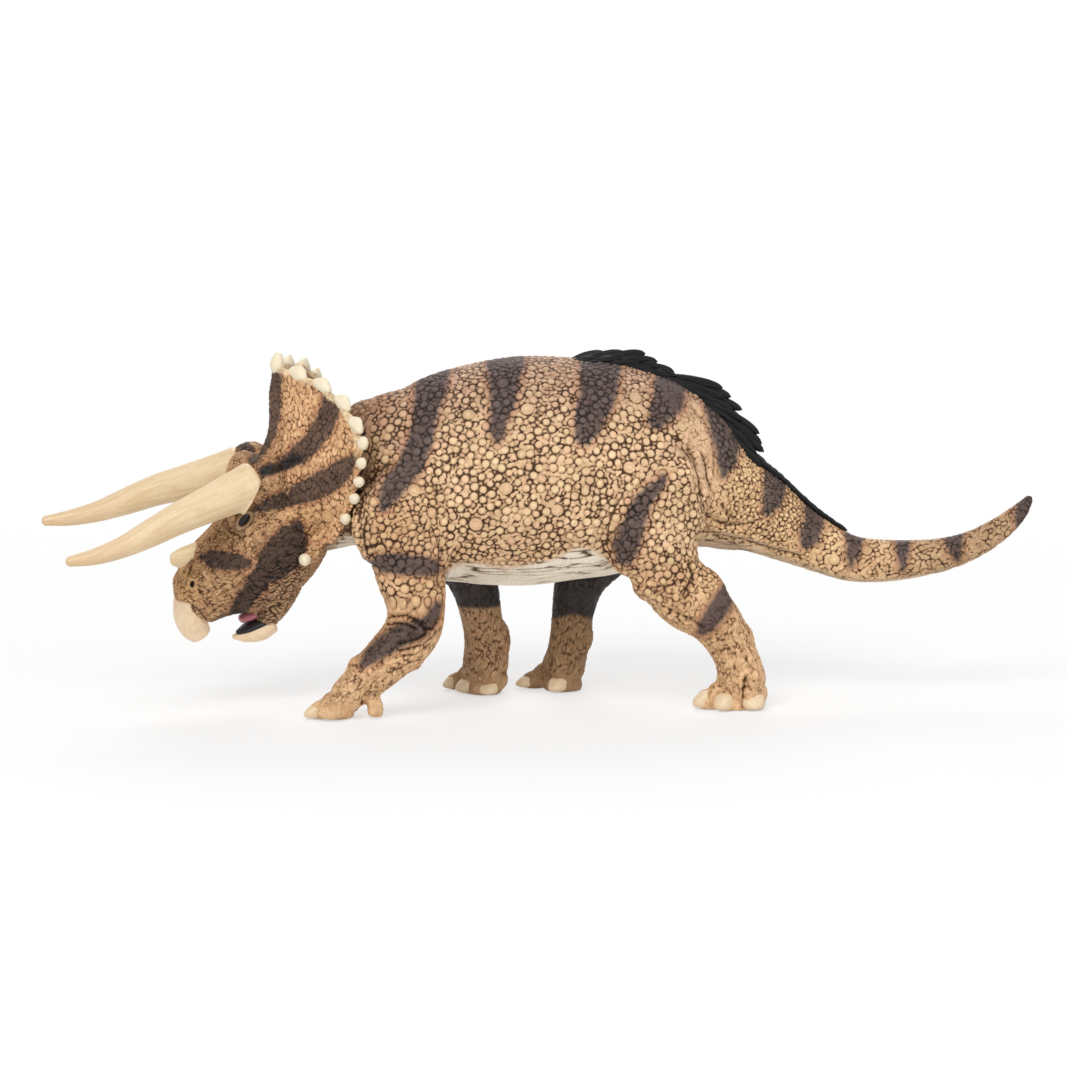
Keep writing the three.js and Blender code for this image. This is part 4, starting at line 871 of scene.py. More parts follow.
head_forms = [
    loft(SKULL, 72, (2, 4), SKULL_PINCH, 80),
    ellipsoid((-18.6, 0, 5.6), (4.6, 6.4, 6.4)),
    frill_solid(),
    loft(JAW, 56, (1.5, 1.5), 0, 40),
    ellipsoid((-32.3, 0, -23.5), (3.9, 5.2, 3.7), 0, 0),
]
for side in (-1, 1):
    head_forms += [
        ellipsoid((-15.4, side * 7.4, 5.6), (6, 5.6, 6.9), side * -16, -14),
        ellipsoid((-13, side * 7.6, 2), (6, 4.6, 6.4), side * -16),
        ellipsoid((-20.4, side * 7.2, -3), (3.6, 2.6, 3.6)),
        ellipsoid((-3.6, side * 10, -9.4), (3.4, 2.6, 5.4)),
        ellipsoid((-32.4, side * 4.2, -20.4), (2.2, 2.6, 2.8)),
        ellipsoid((-16.5, side * 6.5, 0.5), (5.6, 3.4, 3.4), 0, 35),
        ellipsoid((-14, side * 8.2, -13), (6.4, 4.2, 5), 0, 40),
        ellipsoid((-26, side * 4.6, -12.6), (6, 2.8, 2.6), side * 8, -50),
    ]
head = Skin(head_forms, HEAD_VOXEL)
finer = (0.32 / HEAD_VOXEL) ** 2
head.smooth(np.full(head.n, 0.5), max(2, int(5 * finer)))

# where each point is on the frill's sheet
u, v = np.meshgrid(np.linspace(0, 1, 161), np.linspace(0, 1, 41), indexing="ij")
sheet_tree = tree_of(frill_face(u, v).reshape(-1, 3))
found = [sheet_tree.find(p) for p in head.co]
sheet_at, sheet_off = np.array([f[1] for f in found]), np.array([f[2] for f in found])
along_sheet, out = u.reshape(-1)[sheet_at], v.reshape(-1)[sheet_at]
off_skull = Spine(SKULL, SKULL_PINCH, 200).locate(head.co)[1]
on_frill = (sheet_off < 4.6) & (off_skull > 0.8) & (out > 0.06)
blend_zone = np.exp(-(off_skull / 3.5) ** 2) * (sheet_off < 7)
head.smooth(0.6 * np.clip(blend_zone + 0.3 * ~on_frill, 0, 1), max(3, int(16 * finer)))

flat = seen(from_head(near_side(head.co)))
normal = head.normals()
on_side = smoothstep(0.05, 0.35, np.abs(normal[:, 1])) * ~on_frill
eye, nostril = oval(flat, (244.2, 520.2), (4.3, 7.8), 40), oval(flat, (192, 584.3), (3.1, 4.2), 10)
shift = -1.6 * smoothstep(1.0, 0.6, eye) + 0.6 * bell(eye, 1.28, 0.2) - 0.35 * bell(eye, 1.62, 0.12)
shift += 0.3 * bell(eye, 1.9, 0.16) - 0.26 * bell(eye, 2.2, 0.12) + 0.15 * bell(eye, 2.45, 0.16)
shift += -1.4 * smoothstep(1.1, 0.5, nostril) + 0.4 * bell(nostril, 1.9, 0.5) - 0.25 * bell(nostril, 3.3, 0.4)
# folds: points (x, y) in the view, half width and depth in mm
FACE_FOLDS = [
    ([(190, 545), (193, 560), (187, 574), (183, 590)], 0.5, 0.35),
    ([(174, 603), (188, 604), (200, 613), (212, 630)], 0.45, 0.6),
    ([(200, 592), (206, 604), (214, 612)], 0.4, 0.3),
    ([(297, 531), (312, 536), (325, 533)], 0.6, 0.7),
    ([(308, 535), (305, 548)], 0.5, 0.5),
    ([(226, 522), (230, 532), (242, 538), (252, 534)], 0.35, 0.35),
    ([(252, 497), (258, 488), (263, 472)], 0.35, 0.4),
    ([(214, 500), (222, 512), (226, 526)], 0.6, 0.35),
]
# painted shade over each fold, darkest along its crease
fold_shade, crease_shade = np.zeros((2, head.n))
for line, half, deep in FACE_FOLDS:
    d = line_distance(flat, line) / STEPS
    fold = np.exp(-(d / half) ** 2)
    crease_shade = np.maximum(crease_shade, np.exp(-(d / 0.22) ** 2) * min(1, 1.6 * deep) * on_side)
    shift -= deep * fold
    fold_shade = np.maximum(fold_shade, fold * min(1, 1.6 * deep) * on_side)
# ridges that fan out over the frill from behind each horn
fan = np.sin(along_sheet * 150) * smoothstep(0.5, 0.1, out) * on_frill
head.co += normal * (shift * on_side + 0.12 * fan)[:, None]
head.smooth(np.full(head.n, 0.3), 1)
normal = head.normals()

frill_share = head.spread(on_frill.astype(float), 24)
on_face = 1 - frill_share
cheek = spot(flat, (300, 510), (26, 18))
size = np.maximum(head.spread(np.where(on_frill, 0.66, 0.46) + 0.2 * cheek, 4), 1.3 * HEAD_VOXEL)
few = waves(head.co, (0.5, 0.3, 0.4, 0), (-0.4, 0.5, 0.6, 2)) > 0.9
disc = np.where(on_frill & few & (out > 0.2) & (out < 0.9), 0.95, 0.0)
stretched = head.co * [1, 1, 0.8]
places, radii, kinds = scatter(stretched, size * np.where(on_frill, 0.7, 0.85), disc, 0.001)
cell, depth, share, across, strength = cells(stretched, places, radii, kinds)

# the cheeks carry wavy, lengthwise wrinkles
wavy = smoothstep(-6, 6, stroke(flat, [(300, 548, 10), (290, 575, 20), (272, 598, 22), (262, 622, 16)])) * ~on_frill
wavy_at = np.flatnonzero(wavy > 0.02)
bent = head.co[wavy_at].copy()
bent[:, 2] += 0.5 * np.sin(bent[:, 0] * 1.7) + 0.35 * bent[:, 0] * 0.5
v_depth, v_strength = wrinkles(bent * [0.3, 1, 1], 0.42)
v_top = np.ones(head.n)
v_top[wavy_at] = 1 - np.minimum(2.6 * v_strength, 1) * (1 - smoothstep(0, 0.34, v_depth))

# the rest of the face carries short ones
face_at = np.flatnonzero(~on_frill)
bent = head.co[face_at].copy()
bent[:, 2] += 0.3 * np.sin(bent[:, 0] * 2.1) + 0.25 * np.sin(bent[:, 1] * 1.3 + bent[:, 0])
f_top = np.ones(head.n)
f_top[face_at] = dashed_wrinkles(bent * [0.5, 0.9, 1], head.co[face_at], max(0.35, 1.25 * HEAD_VOXEL), 0.36, 0.62, 2.2)

depth = snap_to_grooves(head, normal, depth, across * [1, 1, 0.8], (depth < 0.34 * HEAD_VOXEL) & (wavy < 0.5))
top = pebbled(depth, share, strength, np.clip(0.5 * size, 0.16, 0.34))
line = wash_and_shade_line(depth, share, strength, 0.5)
ringed = (kinds == 2)[cell] * bell(share, 0.55, 0.13)
smooth_place = np.clip(smoothstep(1.45, 1.1, eye) + smoothstep(1.4, 1.1, nostril), 0, 1) * on_side
relief = np.where(on_frill, 0.22, 0.19) * (top - 0.8 - 0.4 * ringed)
relief = relief * (1 - 0.7 * on_face) + 0.34 * (f_top - 0.72) * on_face
relief = (relief * (1 - wavy) + 0.5 * (v_top - 0.7) * wavy) * (1 - smooth_place)
head.co += normal * relief[:, None]
groove = 1 - 0.78 * (1 - line * (1 - 0.6 * ringed)) * (1 - 0.65 * on_face)
groove *= 1 - 0.86 * on_face * (1 - f_top)
groove = groove * (1 - wavy) + v_top * wavy
cream = smoothstep(0.92, 0.95, out) * smoothstep(0.3, 0.22, np.abs(along_sheet - 0.5)) * on_frill
groove = 1 - (1 - groove) * (1 - 0.85 * cream)
groove = (1 - (1 - groove) * (1 - smooth_place)) * (1 - 0.3 * fold_shade) * (1 - 0.8 * crease_shade)

# paint
HEAD_STRIPES = [
    [(274, 350, 9), (275, 391, 6.8), (274, 417, 5.6), (270, 436, 6), (263, 449, 5.5), (252, 461, 4.5)],
    [(337, 390, 6), (332, 402, 10), (327, 417, 10), (322, 429, 10), (312, 442, 10), (299, 454, 10), (283, 464, 7.5),
     (264, 470, 5.5)],
    [(352, 460, 6), (342, 470, 11), (328, 481, 13), (308, 490, 12), (288, 498, 9.5), (268, 505, 6.5), (254, 510, 3)],
]
FACE_STRIPES = [
    [(296, 528, 8), (291, 540, 16), (285, 552, 20), (275, 562, 18), (261, 577, 11), (251, 591, 10.5), (241, 606, 9.5),
     (237, 613, 8)],
    [(203, 557, 4), (212, 559, 9), (226, 561, 10), (240, 563, 8), (249, 562, 3)],
]
wobble = rng.uniform(-1, 1, len(places))[cell] * 0.9
frill_front = on_frill & (-normal[:, 0] + 0.6 * normal[:, 1] * np.sign(head.co[:, 1]) > 0)
inside = painted_with(flat + wobble[:, None],
                      [(line, frill_front | (~on_frill & (flat[:, 1] < 512))) for line in HEAD_STRIPES]
                      + [(line, ~on_frill) for line in FACE_STRIPES])
stripe = smoothstep(-1.0, 1.6, inside)
fringe = smoothstep(-7, 0, inside) * (1 - stripe)
black_band = np.exp(-(line_distance(flat, [(264, 472), (280, 467), (298, 458)]) / 5.5) ** 4)
black_band = black_band * (head.co[:, 0] > -19) * (head.co[:, 1] < 0)
lid = on_side * smoothstep(2.5, 1.2, eye) * (1 - smoothstep(1.15, 0.9, eye))
lip = on_side * (line_distance(flat, [(214, 624), (224, 618), (240, 615), (257, 621)]) < 5)
paint = painted_over(np.tile(rgb(204, 170, 134), (head.n, 1)), [
    ((236, 196, 156), frill_share),
    ((176, 146, 116), (on_frill & ~frill_front) * 0.75),
    ((238, 200, 150), np.exp(-oval(flat, (186, 590), (13, 22)) ** 2) * 0.8 * ~on_frill),
    ((240, 200, 154), cheek * 0.8 * ~on_frill),
    ((190, 162, 134), wavy * 0.75),
    ((232, 186, 134), np.exp(-oval(flat, (316, 545), (11, 14)) ** 2) * 0.7 * ~on_frill),
    ((160, 104, 76), fringe * 0.5),
])
paint = mix(paint, mix(np.tile(rgb(92, 73, 68), (head.n, 1)), rgb(76, 60, 55), on_face), stripe * 0.95)
paint = painted_over(paint, [
    ((238, 222, 190), cream * 0.85),
    ((36, 35, 38), black_band * 0.95),
    ((24, 19, 17), on_side * smoothstep(1.15, 0.9, eye)),
    ((150, 124, 98), lid * 0.7),
    ((24, 18, 16), on_side * smoothstep(1.1, 0.8, nostril)),
    ((40, 30, 26), lip * 0.5),
])
tone = rng.uniform(0, 1, len(places))[cell]
micro = (0.95 - 0.2 * frill_share) * (1 - smooth_place)
head_values = {"paint": paint, "groove": groove, "tone": tone, "micro": micro}
off_jaw = Spine(JAW, 0, 80).locate(head.co)[1]
on_jaw = (off_jaw < 0.6) & (off_skull > 0.5) & ~on_frill & (head.co[:, 2] < -17)
head_region = np.where(on_frill, 1, np.where(on_jaw, 2, 0))
head.co = from_head(head.co)

# ---------------------------------------------------------------- materials

def srgb(r, g, b):
    """A colour written in screen values, for a socket."""
    return (*rgb(r, g, b), 1.0)


def new_material(name):
    """A material, its node tree and its shader."""
    m = bpy.data.materials.new(name)
    m.use_nodes = True
    tree = m.node_tree
    return m, tree, tree.nodes["Principled BSDF"]


def feed(tree, value, socket):
    """Links a socket to value, or sets it where value is no node's output."""
    if isinstance(value, bpy.types.NodeSocket):
        tree.links.new(value, socket)
    else:
        socket.default_value = value


def node(tree, kind, **values):
    """A new node with values for its sockets and settings, by name."""
    n = tree.nodes.new(kind)
    for key, value in values.items():
        if key in n.inputs:
            feed(tree, value, n.inputs[key])
        else:
            setattr(n, key, value)
    return n


def ramp(tree, stops, source):
    """The output of a colour ramp with stops (position, grey or colour)."""
    r = node(tree, "ShaderNodeValToRGB", Fac=source)
    e = r.color_ramp.elements
    while len(e) < len(stops):
        e.new(0.5)
    for k, (pos, value) in enumerate(stops):
        e[k].position = pos
        e[k].color = (value, value, value, 1) if np.isscalar(value) else value
    return r.outputs["Color"]


def maths(tree, operation, a, b):
    """The output of a Math node over two values."""
    m = node(tree, "ShaderNodeMath", operation=operation)
    feed(tree, a, m.inputs[0])
    feed(tree, b, m.inputs[1])
    return m.outputs[0]


def blend_colour(tree, kind, fac, a, b):
    """The output of a Mix node over two colours."""
    m = node(tree, "ShaderNodeMix", data_type="RGBA", blend_type=kind)
    for value, socket in ((fac, m.inputs[0]), (a, m.inputs[6]), (b, m.inputs[7])):
        feed(tree, value, socket)
    return m.outputs[2]


def own_place(tree):
    """Where a point is in its object's own coordinates, in metres."""
    return node(tree, "ShaderNodeTexCoord").outputs["Object"]


def noise(tree, scale, detail, roughness, vector=None):
    """The output of a Noise node, in the object's own coordinates where no vector is given."""
    if vector is None:
        vector = own_place(tree)
    n = node(tree, "ShaderNodeTexNoise", Scale=scale, Detail=detail, Roughness=roughness, Vector=vector)
    return n.outputs["Fac"]


def attribute(tree, name, out):
    """The output of a value that add_piece puts on the points."""
    return node(tree, "ShaderNodeAttribute", attribute_name=name).outputs[out]


def bump(tree, shader, height, distance, strength):
    """Bumps of a shader's surface, distance in metres."""
    b = node(tree, "ShaderNodeBump", Strength=strength, Distance=distance, Height=height)
    tree.links.new(b.outputs["Normal"], shader.inputs["Normal"])


def skin_material():
    """Tan paint with a dark wash in its grooves that is partly painted shade of the relief, uneven from scale to scale,
    and a fine pebbling of its own.
    """
    m, tree, shader = new_material("painted_skin")
    paint_in = attribute(tree, "paint", "Color")
    groove_in, tone_in, micro_in = (attribute(tree, name, "Fac") for name in ("groove", "tone", "micro"))
    fine, coarse = noise(tree, 1500, 5, 0.65), noise(tree, 130, 4, 0.5)
    dots = node(tree, "ShaderNodeTexVoronoi", feature="DISTANCE_TO_EDGE", Scale=1500.0, Vector=own_place(tree))
    speck = ramp(tree, [(0.0, 1.0), (0.16, 0.0)], dots.outputs["Distance"])
    speck = maths(tree, "MULTIPLY", speck, ramp(tree, [(0.4, 0.1), (0.62, 1.0)], noise(tree, 420, 3, 0.6)))
    speck = maths(tree, "MULTIPLY", speck, micro_in)
    varied = paint_in
    for source, stops in (
            (tone_in, [(0, (0.8, 0.74, 0.69, 1)), (0.3, (1.02, 0.94, 0.92, 1)), (0.65, (0.98, 0.98, 0.9, 1)),
                       (1, (1.13, 1.1, 1.05, 1))]),
            (fine, [(0.25, (0.8, 0.77, 0.73, 1)), (0.72, (1.12, 1.12, 1.12, 1))]),
            (coarse, [(0.3, (0.88, 0.84, 0.78, 1)), (0.7, (1.08, 1.06, 1.04, 1))])):
        varied = blend_colour(tree, "MULTIPLY", 1.0, varied, ramp(tree, stops, source))
    varied = blend_colour(tree, "MULTIPLY", speck, varied, (0.34, 0.24, 0.15, 1))
    # the grooves' dark wash is partly painted shade of the relief, with a darker halo beside it
    wash_and_shade = blend_colour(tree, "MULTIPLY", 1.0, paint_in, (0.06, 0.028, 0.012, 1))
    wash_and_shade_halo = ramp(tree, [(0.2, 0.7), (0.9, 0.0)], groove_in)
    varied = blend_colour(tree, "MULTIPLY", wash_and_shade_halo, varied, (0.66, 0.55, 0.4, 1))
    line = ramp(tree, [(0.0, 1.0), (0.18, 0.85), (0.36, 0.3), (0.56, 0.0)], groove_in)
    tree.links.new(blend_colour(tree, "MIX", line, varied, wash_and_shade), shader.inputs["Base Color"])
    tree.links.new(ramp(tree, [(0.3, 0.5), (0.7, 0.66)], fine), shader.inputs["Roughness"])
    shader.inputs["Specular IOR Level"].default_value = 0.3
    bump(tree, shader, maths(tree, "SUBTRACT", fine, speck), 0.00008, 0.6)
    return m


def bone_material(name, base, dark, scale, strength):
    """Cream satin paint with streaks that run along the piece, in its own coordinates."""
    m, tree, shader = new_material(name)
    mapping = node(tree, "ShaderNodeMapping", Vector=attribute(tree, "flow", "Vector"), Scale=scale)
    streak = noise(tree, 1.0, 5, 0.6, mapping.outputs["Vector"])
    fine = noise(tree, 1800, 4, 0.6)
    streaks = ramp(tree, [(0.42, 0.0), (0.62, 1.0)], streak)
    darker = ramp(tree, [(0, 0.0), (1, 1.0)], attribute(tree, "shade", "Fac"))
    colour = blend_colour(tree, "MIX", darker, base, dark)
    worn = (1 - 0.16 * strength, 1 - 0.26 * strength, 1 - 0.4 * strength, 1)
    colour = blend_colour(tree, "MULTIPLY", streaks, colour, worn)
    colour = blend_colour(tree, "MULTIPLY", 0.5, colour, ramp(tree, [(0.3, 0.88), (0.7, 1.06)], fine))
    tree.links.new(colour, shader.inputs["Base Color"])
    tree.links.new(ramp(tree, [(0.3, 0.36), (0.7, 0.5)], streak), shader.inputs["Roughness"])
    bump(tree, shader, streak, 0.00012, 0.35)
    return m


def plain_material(name, base, rough, spec=0.5, grain=1500.0, low=0.8, high=1.2, distance=0.0001):
    """One colour with a fine grain that goes from low to high brightness."""
    m, tree, shader = new_material(name)
    fine = noise(tree, grain, 4, 0.6)
    colour = blend_colour(tree, "MULTIPLY", 1.0, base, ramp(tree, [(0.3, low), (0.7, high)], fine))
    tree.links.new(colour, shader.inputs["Base Color"])
    shader.inputs["Roughness"].default_value = rough
    shader.inputs["Specular IOR Level"].default_value = spec
    bump(tree, shader, fine, distance, 0.4)
    return m


skin_look = skin_material()
horn_look = bone_material("horn_cream", srgb(232, 209, 170), srgb(222, 190, 152), (4, 0.8, 4), 0.6)
beak_look = bone_material("beak_cream", srgb(242, 216, 182), srgb(214, 180, 142), (4, 3, 4), 0.5)
stud_look = bone_material("stud_cream", srgb(240, 228, 200), srgb(196, 160, 120), (3, 3, 3), 0.4)
hoof_look = bone_material("hoof_cream", srgb(238, 216, 182), srgb(180, 140, 100), (3, 3, 3), 0.6)
crest_look = plain_material("crest_black", srgb(9, 9, 10), 0.42, 0.22, 900.0, 0.6, 1.4)
tongue_look = plain_material("tongue_pink", srgb(186, 112, 122), 0.35)
eye_look = plain_material("eye_black", srgb(20, 16, 14), 0.22, 0.35, 600.0, 0.9, 1.1, 0.00001)
mouth_shade_look = plain_material("mouth_shade_black", srgb(26, 22, 21), 0.5)

# ---------------------------------------------------------------- pieces

crest_lo, crest_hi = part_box("quill_crest")
tail_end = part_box("tail")[1].x * 1000
cad_top = cad_box[1][2] * 1000 - 0.02
# from this script's coordinates, where the tail ends at x 127.05, to those of the solids
SHIFT = np.array([tail_end - 127.05, (crest_lo.y + crest_hi.y) * 500, 0.0])


def to_frame(p):
    """Points in mm as the frame's metres."""
    return (np.asarray(p) + SHIFT) / 1000


def add_piece(name, points, faces, look, replaces=(), attributes=None):
    """A piece of the model from points in mm, with the values of each point that its material reads."""
    mesh = bpy.data.meshes.new(name)
    mesh.from_pydata(to_frame(points).tolist(), [], [tuple(int(i) for i in f) for f in faces])
    mesh.validate()
    for key, values in (attributes or {}).items():
        kind, field = ("FLOAT_VECTOR", "vector") if values.ndim == 2 else ("FLOAT", "value")
        if key == "paint":
            kind, field = "FLOAT_COLOR", "color"
            values = np.hstack([values, np.ones((len(values), 1))])
        mesh.attributes.new(key, kind, "POINT").data.foreach_set(field, values.ravel())
    mesh.polygons.foreach_set("use_smooth", [True] * len(mesh.polygons))
    mesh.materials.append(look)
    obj = bpy.data.objects.new(name, mesh)
    bpy.context.scene.collection.objects.link(obj)
    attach(obj, "root")
    if replaces:
        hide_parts(*replaces)


def cut_piece(name, skin, keep, values, replaces):
    """The part of a skin whose faces are in keep, closed on its inside by a fan at each rim."""
    faces = skin.faces[keep]
    used, index = np.unique(faces, return_inverse=True)
    index = index.reshape(faces.shape)
    points = skin.co[used]
    e = np.vstack([index[:, [i, (i + 1) % 4]] for i in range(4)])
    key = np.sort(e, 1)
    _, first, counts = np.unique(key, axis=0, return_index=True, return_counts=True)
    rim = e[first[counts == 1]]
    group = {int(i): int(i) for i in np.unique(rim)}  # leads from each rim point to the first one of its rim

    def leader(i):
        while group[i] != i:
            group[i] = group[group[i]]
            i = group[i]
        return i

    for a, b in rim:
        group[leader(int(a))] = leader(int(b))
    labels = np.array([leader(int(a)) for a, _ in rim])
    all_faces = [tuple(f) for f in index]
    all_points, values = [points], {key: [v[used]] for key, v in values.items()}
    for count, label in enumerate(np.unique(labels), len(points)):
        part = rim[labels == label]
        all_points.append(points[np.unique(part)].mean(0)[None])
        for kept in values.values():
            kept.append(kept[0][part[:1, 0]])
        all_faces += [(int(b), int(a), count) for a, b in part]
    values = {key: np.concatenate(v) for key, v in values.items()}
    add_piece(name, np.vstack(all_points), all_faces, skin_look, [replaces], values)


def face_region(skin, codes):
    """One code for each face: the commonest of its corners', the first corner's if none."""
    c = codes[skin.faces]
    best = c[:, 0].copy()
    for k in range(1, 4):
        votes = (c == c[:, k:k + 1]).sum(1)
        better = votes > (c == best[:, None]).sum(1)
        best[better] = c[better, k]
    return best


codes = face_region(body, region)
on_left = body.co[body.faces][:, :, 1].mean(1) < 0
body_pieces = [("torso_left_skin", (codes == 0) & on_left, "skin", "torso_left_shell"),
               ("torso_right_skin", (codes == 0) & ~on_left, "skin", "torso_right_shell"),
               ("neck_skin", codes == 1, "throat", "neck"), ("tail_skin", codes == 2, "skin", "tail")]
body_pieces += [(name + "_skin", codes == code, "skin", name) for code, name in enumerate(LEGS, 3)]
codes = face_region(head, head_region)
head_pieces = [(name + "_skin", codes == code, "face", name)
               for code, name in enumerate(("head", "frill", "lower_jaw"))]
for skin, values, pieces in ((body, body_values, body_pieces), (head, head_values, head_pieces)):
    for name, keep, slot, replaced in pieces:
        cut_piece(name, skin, keep, values, replaced)


def moved_to_line(points, spine, start, end, bow):
    """Points with those behind a bowed line of the view moved forward along the piece, until they are on it."""
    start, end = np.array(start, float), np.array(end, float)
    back = spine.middle[0] - spine.middle[10]
    back_seen = np.diff(seen(from_head(near_side(np.array([spine.middle[10], spine.middle[0]])))), axis=0)[0]
    across = np.array([end[1] - start[1], start[0] - end[0]]) / np.hypot(*(end - start))
    across *= np.sign(across @ back_seen)
    flat = seen(from_head(near_side(points))) - (start + end) / 2
    along_line = flat @ (end - start) / ((end - start) @ (end - start)) * 2
    over = flat @ across - bow * (1 - np.clip(along_line, -1.3, 1.3) ** 2)
    return points - np.outer(np.maximum(over, 0) / (across @ back_seen), back)


def flowing(sections, side, name, look, replaces, caps, sides, count, ridge=0.0, shade=None, rim=None):
    """A lofted head piece with ridges along it, and the values that its material's streaks run by."""
    table = [(s[0], side * s[1], *s[2:]) for s in sections]
    points, faces = outward(loft(table, sides, caps, 0, count))
    spine = Spine(table, 0, 200)
    t, _, angle = spine.locate(points)
    length = np.linalg.norm(np.diff(spine.middle, axis=0), axis=1).sum()
    flow = np.stack([np.cos(angle), t * length / 6, np.sin(angle)], 1)
    if ridge:
        wave = np.sin(angle * 9 + 2 * np.sin(t * 5)) * 0.5 + np.sin(angle * 23 + 5 * t) * 0.3
        outwards = unit(points - catmull([s[:3] for s in table], t))
        points = points + outwards * (ridge * wave * smoothstep(0, 0.1, t) * smoothstep(1.0, 0.9, t))[:, None]
    if rim:
        points = moved_to_line(points, spine, *rim)
    shade = shade(t) if shade else np.zeros(len(points))
    add_piece(name, from_head(points), faces, look, replaces, {"flow": flow, "shade": shade})


for side, word in ((-1, "left"), (1, "right")):
    flowing(HORN, side, f"brow_horn_{word}_bone", horn_look, [f"brow_horn_{word}"], (2.5, 1.2), 64, 160, 0.05,
            lambda t: 0.1 + 0.6 * smoothstep(0.3, 0.95, t), ((264, 464), (240, 512), 6.5))
flowing(NOSE_HORN, 1, "nose_horn_bone", horn_look, ["nose_horn"], (1, 0.8), 48, 50, 0.04)
flowing(UPPER_BEAK, 1, "upper_beak_bone", beak_look, ["upper_beak"], (1.4, 1.2), 56, 60, 0.02)
flowing(LOWER_BEAK, 1, "lower_beak_bone", beak_look, ["lower_beak"], (1, 0.6), 56, 60, 0.02)
# painted shade: a black sheet inside the open mouth, above the lower beak
flowing(MOUTH, 1, "mouth_shade_sheet", mouth_shade_look, [], (0.6, 0.3), 48, 40)
flowing(TONGUE, 1, "tongue_flesh", tongue_look, ["tongue"], (1, 1), 40, 40)


def pebble(centre, half, outwards, ahead, seed, rough=0.07, narrow=0.15, blunt=0.0):
    """A stud with its first half size outwards, narrower and blunt at its outer end, and a little uneven."""
    points, faces = ellipsoid((0, 0, 0), (1, 1, 1), 0, 0, 28, 18)
    points[:, 1:] *= 1 - narrow * np.clip(points[:, :1] + 0.2, 0, 1)
    points[:, 0] -= blunt * np.maximum(points[:, 0], 0) ** 3
    points = points * half
    local = np.random.default_rng(seed)
    k = local.normal(size=(4, 3)) * 1.1
    lumps = sum(np.sin(points @ k[i] + phase) for i, phase in enumerate(local.uniform(0, 6.28, 4))) / 4
    points = points * (1 + rough * lumps)[:, None]
    first = unit(np.asarray(outwards, float))
    second = unit(np.asarray(ahead, float) - first * (np.asarray(ahead, float) @ first))
    return points @ np.stack([first, second, np.cross(first, second)]) + np.asarray(centre), faces


def cluster(name, solids, look):
    """Several small solids as one piece, a little darker in their middles."""
    points, faces = join(solids)
    base = np.concatenate([p - p.mean(0) for p, _ in solids])
    shade = np.clip(1 - np.linalg.norm(base, axis=1) / 2, 0, 1) * 0.2
    add_piece(name, points, faces, look, (), {"flow": base + 7, "shade": shade})


# half sizes of the rim studs from the middle one down, outwards and along the rim
STUD_SIZES = [(3.4, 2.3), (2.1, 3.1), (2.1, 3), (2.1, 2.9), (2, 2.8), (1.7, 1.75), (1.5, 1.5), (1.4, 1.4), (1.4, 1.4),
              (1.55, 1.5)]
studs, rim_out = [], np.array([1.0])
count = len(FRILL_RIM) - 2
for k in range(-count, count + 1):
    across = np.array([0.5 + k * STUD_STEP])
    rim = frill_face(across, rim_out)[0]
    outwards = unit(rim - frill_face(across, np.array([0.999]))[0])
    ahead = frill_face(across + 0.002, rim_out)[0] - frill_face(across - 0.002, rim_out)[0]
    high, wide = STUD_SIZES[abs(k)]
    if k == 0:
        lift, thick, narrow, blunt = 0.2, 1.75, 0.4, 0.3
    elif abs(k) < 5:
        lift, thick, narrow, blunt = -0.4, 1.45, 0.56, 0.13
    else:
        lift, thick, narrow, blunt = 0.1 + 0.12 * high, 1.35, 0.12, 0
    centre = rim + outwards * lift + np.array([0.95, 0, 0])
    studs.append(pebble(centre, (high, wide, thick), outwards, ahead, 50 + k, 0.09, narrow, blunt))
studs += [pebble((-5.7, side * 12.2, -13.2), (1.5, 1.6, 1.6), (-0.2, side, -0.3), (0, 0.2, 1), 80 + side)
          for side in (-1, 1)]
cluster("rim_and_cheek_studs", [(from_head(p), f) for p, f in studs], stud_look)


def hoof(x, y, heading, length, width, tall):
    """A blunt hoof that stands on the ground: a lofted wedge, boxy behind and rounded in front."""
    rings, sides = [], 40
    angle = np.linspace(0, 2 * np.pi, sides, endpoint=False)
    cos, sin = np.cos(angle), np.sin(angle)
    boxy = lambda c: np.sign(c) * np.abs(c) ** 0.78  # a power of 1 gives an ellipse, a lower one a squarer form
    for s in np.linspace(0, 1, 22)[:-1]:
        close = math.sqrt(max(0.0, 1 - s**3.4))
        half_w = width / 2 * (0.94 + 0.06 * math.sin(math.pi * s)) * (1 - 0.18 * s * s) * close
        half_h = tall / 2 * (1 - 0.3 * s**1.5) * (0.5 + 0.5 * close)
        ring = [np.full(sides, -length * s), boxy(cos) * half_w, 0.04 + half_h + boxy(sin) * half_h * close]
        rings.append(np.stack(ring, 1))
    a = math.radians(heading)
    turn = np.array(Matrix.Rotation(a, 3, "Z"))
    place = np.array([x + length / 2 * math.cos(a), y + length / 2 * math.sin(a), 0])
    solid = grid_solid(rings, rings[0].mean(0), rings[-1].mean(0) + [-0.05, 0, 0])
    return solid[0] @ turn.T + place, solid[1]


for name, leg in LEGS.items():
    cluster(name + "_hooves", [hoof(*h) for h in leg["hooves"]], hoof_look)

eyes = [ellipsoid((-20.6, side * 8.1, -3.1), (1.6, 1.5, 2.6), 0, 40, 32, 20) for side in (-1, 1)]
cluster("eyes", [(from_head(p), f) for p, f in eyes], eye_look)

# ---------------------------------------------------------------- crest of bristles

ridge_top = trunk_spine.middle + trunk_spine.up * trunk_spine.half[:, :1]
ridge_along = unit(np.gradient(ridge_top, axis=0))


